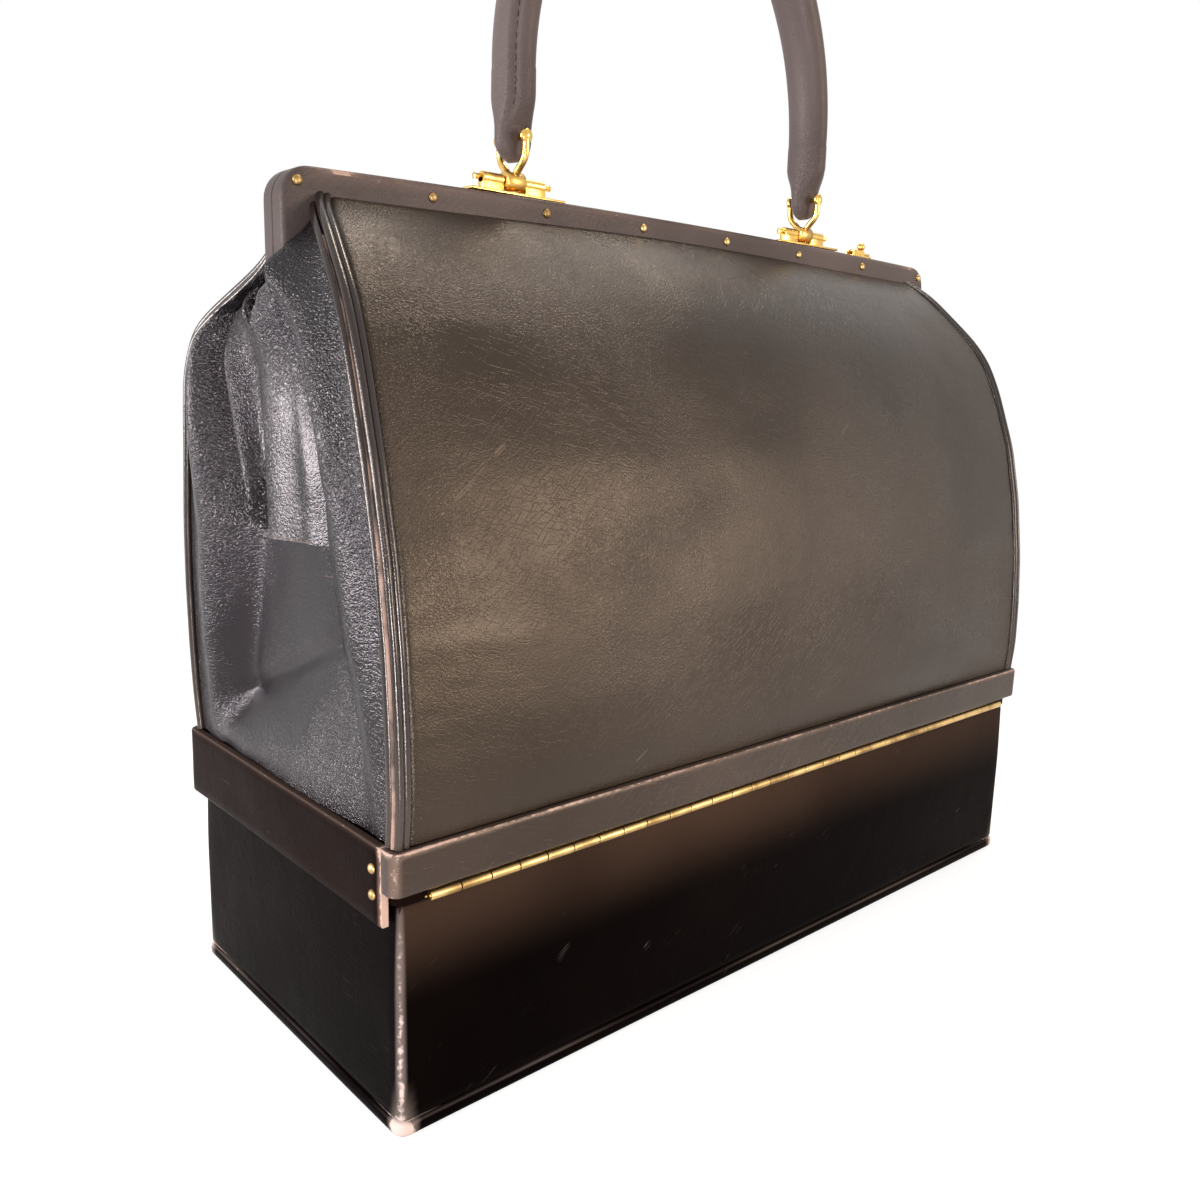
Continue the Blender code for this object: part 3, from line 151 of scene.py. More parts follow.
class Shape:
    """Collects the vertices and faces of one piece."""

    def __init__(self) -> None:
        """Start empty."""
        self.vertices: list[Points] = []
        self.faces: list[tuple[int, ...]] = []
        self.count = 0

    def add_points(self, points: Points) -> Points:
        """Add points and return their numbers in the same layout."""
        flat = points.reshape(-1, 3)
        numbers = np.arange(self.count, self.count + len(flat)).reshape(points.shape[:-1])
        self.vertices.append(flat)
        self.count += len(flat)
        return numbers

    def add_quads(self, numbers: Points, wrap_rows: bool = False, wrap_columns: bool = False) -> None:
        """Join a grid of vertex numbers with quads."""
        rows, columns = numbers.shape
        for row in range(rows if wrap_rows else rows - 1):
            lower = numbers[row]
            upper = numbers[(row + 1) % rows]
            for column in range(columns if wrap_columns else columns - 1):
                after = (column + 1) % columns
                self.faces.append((lower[column], lower[after], upper[after], upper[column]))

    def add_sheet(self, outer: Points, inner: Points) -> None:
        """Add a closed sheet between two grids of points of one size."""
        front = self.add_points(outer)
        back = self.add_points(inner)
        self.add_quads(front)
        self.add_quads(back[::-1])
        rim = np.concatenate([front[0, :-1], front[:-1, -1], front[-1, :0:-1], front[:0:-1, 0]])
        under = np.concatenate([back[0, :-1], back[:-1, -1], back[-1, :0:-1], back[:0:-1, 0]])
        self.add_quads(np.stack([rim, under]), wrap_columns=True)

    def add_loft(self, rings: Points, closed_path: bool = False) -> None:
        """Add a solid through rings of points; an open path gets flat caps."""
        numbers = self.add_points(rings)
        self.add_quads(numbers, wrap_rows=closed_path, wrap_columns=True)
        if not closed_path:
            self.faces.append(tuple(numbers[0][::-1]))
            self.faces.append(tuple(numbers[-1]))

    def add_tube(self, path: Points, radius: float, sides: int) -> None:
        """Add a round bar along a path."""
        rings = []
        tangents = np.gradient(path, axis=0)
        steep = abs(tangents[0][1]) >= np.linalg.norm(tangents[0]) / 2
        up = np.array([1.0, 0.0, 0.0] if steep else [0.0, 1.0, 0.0])
        angles = np.linspace(0, 2 * math.pi, sides, endpoint=False)
        for point, tangent in zip(path, tangents):
            tangent = tangent / np.linalg.norm(tangent)
            across = np.cross(up, tangent)
            across /= np.linalg.norm(across)
            up = np.cross(tangent, across)
            rings.append(point + radius * (np.outer(np.cos(angles), across) + np.outer(np.sin(angles), up)))
        self.add_loft(np.array(rings))

    def add_turned(self, profile: Outline, place: Matrix, sides: int) -> None:
        """Add a turned solid: profile runs (radius, height) from end to end, height along local Z."""
        angles = np.linspace(0, 2 * math.pi, sides, endpoint=False)
        rings = np.array([
            [(radius * math.cos(angle), radius * math.sin(angle), height) for angle in angles]
            for radius, height in profile
        ])
        matrix = np.array(place)
        self.add_loft(rings @ matrix[:3, :3].T + matrix[:3, 3])

    def add_block(self, low: Sequence[float], high: Sequence[float], bevel: float, steps: int) -> None:
        """Add a box with rounded edges."""
        bm = bmesh.new()
        bmesh.ops.create_cube(bm, size=1.0)
        size = [b - a for a, b in zip(low, high)]
        middle = [(b + a) / 2 for a, b in zip(low, high)]
        bm.transform(Matrix.Translation(middle) @ Matrix.Diagonal((*size, 1.0)))
        bmesh.ops.bevel(bm, geom=bm.edges, offset=bevel, segments=steps, profile=0.5, affect="EDGES")
        bm.verts.ensure_lookup_table()
        start = self.count
        self.add_points(np.array([vert.co for vert in bm.verts]))
        self.faces += [tuple(start + vert.index for vert in face.verts) for face in bm.faces]
        bm.free()

    def build(self, name: str, smooth_degrees: float = 40.0) -> Piece:
        """Make the object.

        Args:
            name: the piece's name.
            smooth_degrees: edges sharper than this stay sharp.

        Returns:
            The new object, linked to the scene.
        """
        mesh = bpy.data.meshes.new(name)
        mesh.from_pydata(np.concatenate(self.vertices).tolist(), [], self.faces)
        bm = bmesh.new()
        bm.from_mesh(mesh)
        bmesh.ops.remove_doubles(bm, verts=bm.verts, dist=1e-6)
        bmesh.ops.recalc_face_normals(bm, faces=bm.faces)
        bm.to_mesh(mesh)
        bm.free()
        mesh.shade_smooth()
        mesh.set_sharp_from_angle(angle=math.radians(smooth_degrees))
        return add_object(name, mesh)


def paint_wear(obj: Piece, rule: WearRule) -> None:
    """Store on each vertex how worn it is, from 0 to 1, for the finish to read."""
    co = np.zeros(len(obj.data.vertices) * 3)
    obj.data.vertices.foreach_get("co", co)
    attribute = obj.data.attributes.new("wear", "FLOAT", "POINT")
    attribute.data.foreach_set("value", np.clip(rule(co.reshape(-1, 3)), 0, 1).astype(np.float32))


def place_piece(obj: Piece, body: Body, material: Material, slot: str, *nodes: str) -> None:
    """Dress a finished piece and hang it on its body.

    Args:
        obj: the piece.
        body: the body that it rides on.
        material: its finish.
        slot: not used.
        nodes: the CAD nodes that it stands for.
    """
    if material.name not in [m.name for m in obj.data.materials if m]:
        obj.data.materials.clear()
        obj.data.materials.append(material)
    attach(obj, body.value)
    if nodes:
        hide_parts(*nodes)
    LOG.info("%s rides %s", obj.name, body.value)


def make_piece(
    shape: Shape, name: str, smooth_degrees: float, body: Body, material: Material, slot: str,
    *nodes: str, wear: Optional[WearRule] = None,
) -> None:
    """Build a shape, paint its wear, dress it and hang it on its body.

    Args:
        shape: the piece's vertices and faces.
        name: the piece's name.
        smooth_degrees: edges sharper than this stay sharp.
        body: the body that it rides on.
        material: its finish.
        slot: not used.
        nodes: the CAD nodes that it stands for.
        wear: how worn each point is.
    """
    piece = shape.build(name, smooth_degrees)
    if wear:
        paint_wear(piece, wear)
    place_piece(piece, body, material, slot, *nodes)


def dress(node: str, material: Material) -> None:
    """Give a CAD node that stays its finish."""
    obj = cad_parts[node]
    for slot in obj.material_slots:
        slot.material = material
    if not obj.material_slots:
        obj.data.materials.append(material)
    LOG.info("%s keeps its CAD shape", node)


# Finishes


def add_node(tree: bpy.types.NodeTree, kind: str, inputs: dict, output: str = "", **settings: object) -> Socket:
    """Add a shader node, link or set its inputs, and return one of its outputs."""
    node = tree.nodes.new("ShaderNode" + kind)
    for key, value in settings.items():
        setattr(node, key, value)
    for key, value in inputs.items():
        if isinstance(value, Socket):
            tree.links.new(value, node.inputs[key])
        else:
            node.inputs[key].default_value = value
    return node.outputs[output] if output else node.outputs[0]


class Recipe:
    """Builds one material's nodes."""

    def __init__(self, name: str) -> None:
        """Start a material with its shader and object coordinates."""
        self.material = bpy.data.materials.new(name)
        self.material.use_nodes = True
        self.tree = self.material.node_tree
        self.links = self.tree.links
        self.shader = self.tree.nodes["Principled BSDF"]
        self.place = self.add("TexCoord", {}, "Object")

    def add(self, kind: str, inputs: dict, output: str = "", **settings: object) -> Socket:
        """Add a node to the material and return one of its outputs."""
        return add_node(self.tree, kind, inputs, output, **settings)

    def noise(self, scale: float, detail: float = 3.0, vector: Optional[Socket] = None) -> Socket:
        """Noise from 0 to 1."""
        return self.add("TexNoise", {"Vector": vector or self.place, "Scale": scale, "Detail": detail}, "Fac")

    def cracks(self, scale: float) -> Socket:
        """The distance from the lines between irregular cells."""
        return self.add("TexVoronoi", {"Vector": self.place, "Scale": scale}, "Distance", feature="DISTANCE_TO_EDGE")

    def stretched(self, scale: Sequence[float], turn: Sequence[float] = (0.0, 0.0, 0.0)) -> Socket:
        """Coordinates turned and stretched along their axes."""
        return self.add("Mapping", {"Vector": self.place, "Scale": scale, "Rotation": turn})

    def hatch(self, turn: float, scale: Sequence[float], width: float) -> Socket:
        """Fine lines, 1 on a line and 0 beside it, that run along X turned about Y."""
        turned = self.add("Mapping", {"Vector": self.place, "Rotation": (0.0, turn, 0.0)})
        drawn = self.add("Mapping", {"Vector": turned, "Scale": scale})
        off = self.sum("ABSOLUTE", self.sum("SUBTRACT", self.noise(1.0, 1.0, drawn), 0.5), 0.0)
        return self.spread(off, 0.0, width, 1.0, 0.0)

    def spread(self, value: Socket, low: float, high: float, to_low: float, to_high: float) -> Socket:
        """Map a range of values to another, held at its ends."""
        return self.add(
            "MapRange",
            {"Value": value, "From Min": low, "From Max": high, "To Min": to_low, "To Max": to_high},
            interpolation_type="SMOOTHSTEP",
        )

    def sum(self, kind: str, first: object, second: object) -> Socket:
        """A Math node of that kind."""
        return self.add("Math", {0: first, 1: second}, operation=kind)

    def mix(self, share: Socket, first: object, second: object) -> Socket:
        """Mix two colours, each a fixed one or a socket."""
        node = self.tree.nodes.new("ShaderNodeMix")
        node.data_type = "RGBA"
        self.links.new(share, node.inputs[0])
        for socket, value in ((node.inputs[6], first), (node.inputs[7], second)):
            if isinstance(value, Socket):
                self.links.new(value, socket)
            else:
                socket.default_value = (*value, 1.0)
        return node.outputs[2]

    def finish(self, colour: Socket, roughness: Socket, height: Socket, depth: float) -> None:
        """Link colour, roughness and bump to the shader."""
        bump = self.add("Bump", {"Height": height, "Distance": depth, "Strength": 1.0})
        for name, value in (("Base Color", colour), ("Roughness", roughness), ("Normal", bump)):
            self.links.new(value, self.shader.inputs[name])


@dataclass(frozen=True)
class Leather:
    """Calf leather with pebbled grain, creases, scuffs and worn edges, and optionally a painted sheen: a paler band
    painted high on the back face.
    """

    name: str
    dark: Colour = (0.018, 0.012, 0.008)
    light: Colour = (0.034, 0.024, 0.018)
    worn: Colour = (0.42, 0.29, 0.235)
    grain_per_metre: float = 900.0
    grain_share: float = 0.55
    crease_share: float = 0.24
    depth: float = 0.00022
    smooth_roughness: float = 0.24
    rough_roughness: float = 0.38
    specular: float = 0.32
    tint: Colour = (1.0, 0.84, 0.70)
    # the paler colour and the two heights of a painted reflection: the back face is painted paler towards its upper
    # band, as if lit
    painted_sheen: Colour = (0.0, 0.0, 0.0)
    sheen_heights: tuple[float, float] = (0.0, 0.0)

    def build(self) -> Material:
        """Make the material."""
        r = Recipe(self.name)
        coarse = r.spread(r.cracks(self.grain_per_metre), 0.0, 0.28, 0.0, 1.0)
        fine = r.spread(r.cracks(self.grain_per_metre * 2.1), 0.0, 0.35, 0.0, 1.0)
        patches = r.spread(r.noise(11.0, 3.0), 0.40, 0.62, 0.25, 1.0)
        grain = r.sum("ADD", r.sum("MULTIPLY", coarse, 0.6), r.sum("MULTIPLY", fine, 0.4))
        grain = r.sum("MULTIPLY", r.sum("SUBTRACT", grain, 0.85), r.sum("MULTIPLY", patches, self.grain_share))
        steep_crease = r.hatch(-0.75, (110.0, 260.0, 560.0), 0.045)
        flat_crease = r.hatch(0.30, (90.0, 230.0, 480.0), 0.030)
        crease = r.sum("MAXIMUM", steep_crease, flat_crease)
        creased = r.spread(r.noise(9.0, 2.0), 0.30, 0.72, self.crease_share * 0.35, self.crease_share)
        crease = r.sum("MULTIPLY", crease, creased)
        swell = r.sum("MULTIPLY", r.noise(55.0, 2.0), 1.2)
        height = r.sum("ADD", r.sum("SUBTRACT", grain, crease), swell)
        attribute = r.add("Attribute", {}, "Fac", attribute_name="wear")
        ragged = r.sum("ADD", attribute, r.sum("MULTIPLY", r.sum("SUBTRACT", r.noise(420.0, 5.0), 0.5), 0.9))
        wear = r.spread(ragged, 0.45, 0.66, 0.0, 1.0)
        rubbed = r.spread(attribute, 0.05, 0.6, 0.0, 0.25)
        scratch = r.hatch(-0.62, (5.0, 4.0, 210.0), 0.008)
        scratch = r.sum("MULTIPLY", scratch, r.spread(r.noise(60.0, 2.0), 0.62, 0.72, 0.0, 0.16))
        tone = r.mix(r.spread(r.noise(6.0, 4.0), 0.35, 0.65, 0.0, 1.0), self.dark, self.light)
        # Painted reflection: the back face is blended towards the paler colour from the lower height to the upper
        # one, so its upper band looks lit; noise breaks the band up.
        if self.sheen_heights[1] > 0:
            fade = r.spread(r.add("SeparateXYZ", {"Vector": r.place}, "Z"), *self.sheen_heights, 0.0, 1.0)
            rear = r.spread(r.add("SeparateXYZ", {"Vector": r.place}, "Y"), 0.0655, 0.0679, 0.0, 1.0)
            fade = r.sum("MULTIPLY", fade, rear)
            tone = r.mix(r.sum("MULTIPLY", fade, r.spread(r.noise(7.0, 2.0), 0.3, 0.7, 0.35, 1.0)), tone, self.painted_sheen)
        tone = r.mix(r.sum("MAXIMUM", scratch, rubbed), tone, self.worn)
        tone = r.mix(wear, tone, self.worn)
        rough = r.spread(r.noise(19.0, 5.0), 0.3, 0.7, self.smooth_roughness, self.rough_roughness)
        rough = r.sum("ADD", rough, r.sum("MULTIPLY", r.sum("ADD", wear, scratch), 0.35))
        r.finish(tone, rough, height, self.depth)
        r.shader.inputs["Specular IOR Level"].default_value = self.specular
        r.shader.inputs["Specular Tint"].default_value = (*self.tint, 1.0)
        return r.material


@dataclass(frozen=True)
class RawEdge:
    """The cut, undyed edge of thick leather."""

    name: str
    pale: Colour = (0.26, 0.165, 0.125)
    dirty: Colour = (0.045, 0.030, 0.024)

    def build(self) -> Material:
        """Make the material."""
        r = Recipe(self.name)
        fibres = r.noise(1.0, 4.0, r.stretched((900.0, 900.0, 200.0)))
        soiled = r.spread(r.noise(70.0, 5.0), 0.42, 0.60, 0.0, 1.0)
        tone = r.mix(soiled, self.pale, self.dirty)
        r.finish(tone, r.spread(fibres, 0.3, 0.7, 0.55, 0.85), fibres, 0.0003)
        return r.material


@dataclass(frozen=True)
class Metal:
    """Brass or steel with handling marks and tarnish."""

    name: str
    bright: Colour = (0.74, 0.47, 0.13)
    dull: Colour = (0.36, 0.21, 0.06)
    tarnish_share: float = 0.45
    polished: float = 0.16
    matt: float = 0.40

    def build(self) -> Material:
        """Make the material."""
        r = Recipe(self.name)
        clouds = r.noise(95.0, 5.0)
        tarnish = r.spread(clouds, 0.62 - self.tarnish_share * 0.3, 0.72, 0.0, 1.0)
        tone = r.mix(tarnish, self.bright, self.dull)
        brushed = r.noise(1.0, 3.0, r.stretched((500.0, 4500.0, 4500.0)))
        rough = r.spread(clouds, 0.3, 0.75, self.polished, self.matt)
        r.finish(tone, rough, brushed, 0.00002)
        r.shader.inputs["Metallic"].default_value = 1.0
        return r.material


@dataclass(frozen=True)
class Cloth:
    """Woven lining cloth."""

    name: str
    warp: Colour = (0.24, 0.155, 0.105)
    weft: Colour = (0.15, 0.095, 0.065)
    threads_per_metre: float = 700.0

    def build(self) -> Material:
        """Make the material."""
        r = Recipe(self.name)
        turned = r.stretched((1.0, 1.0, 1.0), (0.0, math.pi / 2, math.pi / 2))
        threads = {"Scale": self.threads_per_metre * math.tau / 10, "Distortion": 0.6}
        rows, columns = (
            r.add("TexWave", {"Vector": place, **threads}, "Fac", bands_direction="DIAGONAL")
            for place in (r.place, turned)
        )
        weave = r.sum("MULTIPLY", rows, columns)
        stains = r.spread(r.noise(9.0, 5.0), 0.45, 0.62, 0.0, 0.5)
        tone = r.mix(r.sum("MAXIMUM", weave, stains), self.warp, self.weft)
        r.finish(tone, r.spread(weave, 0.0, 1.0, 0.75, 0.92), weave, 0.00025)
        r.shader.inputs["Sheen Weight"].default_value = 0.25
        return r.material


@dataclass(frozen=True)
class Finishes:
    """Every finish of the bag, built once."""

    calf: Material
    grained: Material
    welt: Material
    strip: Material
    case_calf: Material
    skirt: Material
    trim: Material
    raw: Material
    gilt: Material
    aged: Material
    steel: Material
    lining: Material
    thread: Material

    @classmethod
    def make(cls) -> "Finishes":
        """Build all the finishes."""
        return cls(
            calf=Leather("calf").build(),
            grained=Leather(
                "grained_calf", grain_per_metre=680.0, grain_share=1.4, depth=0.00016, smooth_roughness=0.16,
                rough_roughness=0.25, specular=0.36, tint=(1.0, 0.93, 0.97), dark=(0.004, 0.003, 0.004),
                light=(0.011, 0.008, 0.010),
            ).build(),
            welt=Leather(
                "welt_calf", grain_share=0.12, crease_share=0.05, smooth_roughness=0.15, rough_roughness=0.24,
                specular=0.50, tint=(1.0, 0.93, 0.88), dark=(0.012, 0.008, 0.007), light=(0.026, 0.018, 0.015),
            ).build(),
            strip=Leather(
                "strip_calf", grain_share=0.3, dark=(0.020, 0.013, 0.010), light=(0.044, 0.030, 0.024),
            ).build(),
            # the case's back is painted paler towards its top edge: a painted reflection band
            case_calf=Leather(
                "case_calf", worn=(0.50, 0.40, 0.36), grain_share=0.10, crease_share=0.12, smooth_roughness=0.20,
                rough_roughness=0.34, specular=0.01, dark=(0.0010, 0.0004, 0.0004), light=(0.0028, 0.0014, 0.0012),
                painted_sheen=(0.085, 0.050, 0.034), sheen_heights=(0.040, 0.080),
            ).build(),
            skirt=Leather(
                "skirt_calf", grain_share=0.15, crease_share=0.10, smooth_roughness=0.20, rough_roughness=0.34,
                specular=0.01, dark=(0.003, 0.0013, 0.0010), light=(0.009, 0.0045, 0.0036),
            ).build(),
            trim=Leather(
                "trim_leather", dark=(0.060, 0.046, 0.043), light=(0.108, 0.085, 0.080), grain_share=0.45,
                smooth_roughness=0.34, rough_roughness=0.46, specular=0.14, tint=(1.0, 0.90, 0.86),
            ).build(),
            raw=RawEdge("raw_edge").build(),
            gilt=Metal("gilt_brass").build(),
            aged=Metal("aged_brass", bright=(0.62, 0.42, 0.17), dull=(0.20, 0.125, 0.05), tarnish_share=0.9,
                       polished=0.30, matt=0.5).build(),
            steel=Metal("steel", bright=(0.56, 0.55, 0.53), dull=(0.30, 0.28, 0.26), polished=0.25).build(),
            lining=Cloth("lining_cloth").build(),
            thread=RawEdge("thread", pale=(0.045, 0.035, 0.032), dirty=(0.020, 0.015, 0.013)).build(),
        )


# Repeats


class Pattern:
    """A Geometry Nodes tree that repeats a small unit, baked to a plain mesh."""

    def __init__(self, name: str) -> None:
        """Start a tree with its geometry in and out."""
        self.tree = bpy.data.node_groups.new(name, "GeometryNodeTree")
        self.tree.interface.new_socket("Geometry", in_out="INPUT", socket_type="NodeSocketGeometry")
        self.tree.interface.new_socket("Geometry", in_out="OUTPUT", socket_type="NodeSocketGeometry")
        self.values: dict[str, object] = {}

    def size(self, name: str, kind: str, value: object) -> None:
        """Add a named input and keep its value for the modifier."""
        socket = self.tree.interface.new_socket(name, in_out="INPUT", socket_type="NodeSocket" + kind)
        self.values[socket.identifier] = value

    def node(self, kind: str, **settings: object) -> bpy.types.Node:
        """Add a node."""
        node = self.tree.nodes.new(kind)
        for key, value in settings.items():
            setattr(node, key, value)
        return node

    def join(self, start: Socket, end: Socket) -> None:
        """Link two sockets."""
        self.tree.links.new(start, end)

    def close(self, instances: Socket, inputs: bpy.types.Node) -> None:
        """End the tree with real geometry in its material."""
        real = self.node("GeometryNodeRealizeInstances")
        dressed = self.node("GeometryNodeSetMaterial")
        output = self.node("NodeGroupOutput")
        self.join(instances, real.inputs[0])
        self.join(real.outputs[0], dressed.inputs["Geometry"])
        self.join(inputs.outputs["Finish"], dressed.inputs["Material"])
        self.join(dressed.outputs[0], output.inputs[0])

    def begin(self, unit: Piece, material: Material) -> tuple[bpy.types.Node, bpy.types.Node]:
        """Add the unit and finish inputs and a node that stands the unit on points.

        Args:
            unit: the small thing to repeat.
            material: its finish.

        Returns:
            The tree's input node and the node that stands the unit.
        """
        self.size("Unit", "Object", unit)
        self.size("Finish", "Material", material)
        inputs = self.node("NodeGroupInput")
        info = self.node("GeometryNodeObjectInfo", transform_space="ORIGINAL")
        stand = self.node("GeometryNodeInstanceOnPoints")
        self.join(inputs.outputs["Unit"], info.inputs["Object"])
        self.join(info.outputs["Geometry"], stand.inputs["Instance"])
        return inputs, stand

    @classmethod
    def on_points(cls, turn: tuple[float, float, float], unit: Piece, material: Material) -> "Pattern":
        """A tree that stands the unit on every point, turned one way.

        Args:
            turn: the unit's turn in radians about X, Y and Z.
            unit: the small thing to repeat.
            material: its finish.

        Returns:
            The pattern.
        """
        pattern = cls("on_points")
        pattern.size("Turn", "Vector", turn)
        inputs, stand = pattern.begin(unit, material)
        pattern.join(inputs.outputs["Geometry"], stand.inputs["Points"])
        pattern.join(inputs.outputs["Turn"], stand.inputs["Rotation"])
        pattern.close(stand.outputs[0], inputs)
        return pattern

    @classmethod
    def along_path(cls, spacing: float, unit: Piece, material: Material) -> "Pattern":
        """A tree that lays the unit along a path, its X axis along the path.

        Args:
            spacing: the distance from one unit to the next.
            unit: the small thing to repeat.
            material: its finish.

        Returns:
            The pattern.
        """
        pattern = cls("along_path")
        pattern.size("Spacing", "Float", spacing)
        inputs, stand = pattern.begin(unit, material)
        path = pattern.node("GeometryNodeMeshToCurve")
        points = pattern.node("GeometryNodeCurveToPoints", mode="LENGTH")
        turn = pattern.node("FunctionNodeAlignRotationToVector", axis="X")
        pattern.join(inputs.outputs["Geometry"], path.inputs[0])
        pattern.join(path.outputs[0], points.inputs["Curve"])
        pattern.join(inputs.outputs["Spacing"], points.inputs["Length"])
        pattern.join(points.outputs["Tangent"], turn.inputs["Vector"])
        pattern.join(turn.outputs[0], stand.inputs["Rotation"])
        pattern.join(points.outputs["Points"], stand.inputs["Points"])
        pattern.close(stand.outputs[0], inputs)
        return pattern

    def bake(self, name: str, points: Points, edges: bool, unit: Piece) -> Piece:
        """Run the tree on points and keep the result as a plain object.

        Args:
            name: the new piece's name.
            points: where the units go, or the path that they follow.
            edges: whether the points are joined to a path.
            unit: the repeated unit, which is removed afterwards.

        Returns:
            The piece.
        """
        carrier_mesh = bpy.data.meshes.new(name + "_places")
        links = [(i, i + 1) for i in range(len(points) - 1)] if edges else []
        carrier_mesh.from_pydata(points.tolist(), links, [])
        carrier = add_object(name + "_places", carrier_mesh)
        modifier = carrier.modifiers.new("pattern", "NODES")
        modifier.node_group = self.tree
        for identifier, value in self.values.items():
            modifier[identifier] = value
        bpy.context.view_layer.update()
        seen = carrier.evaluated_get(bpy.context.evaluated_depsgraph_get())
        mesh = bpy.data.meshes.new_from_object(seen)
        carrier.modifiers.remove(modifier)
        bpy.data.objects.remove(carrier, do_unlink=True)
        bpy.data.objects.remove(unit, do_unlink=True)
        mesh.name = name
        mesh.shade_smooth()
        return add_object(name, mesh)


# Lower case


CORNER_STEPS = 6
SIDE_STEPS = (80, 34)
QUADRANTS = ((1, 1), (-1, 1), (-1, -1), (1, -1))


def round_box(half_x: float, half_y: float, radius: float, z: float) -> Points:
    """One ring of points round a box with round corners, anticlockwise from the +X side's middle.

    Args:
        half_x: half the length.
        half_y: half the depth.
        radius: the corners' radius.
        z: the ring's height.

    Returns:
        The points.
    """
    straight = np.array([half_x - radius, half_y - radius])
    parts = []
    for quarter, way in enumerate(QUADRANTS):
        angles = (quarter + np.linspace(0, 1, CORNER_STEPS + 1)) * math.pi / 2
        parts.append(way * straight + radius * np.stack([np.cos(angles), np.sin(angles)], axis=1))
        turn = (quarter + 1) * math.pi / 2
        after = QUADRANTS[(quarter + 1) % 4] * straight
        start = parts[-1][-1]
        end = after + radius * np.array([math.cos(turn), math.sin(turn)])
        shares = np.linspace(0, 1, SIDE_STEPS[quarter % 2] + 1)[1:-1, None]
        parts.append(start + (end - start) * shares)
    flat = np.concatenate(parts)
    return np.column_stack([flat, np.full(len(flat), z)])


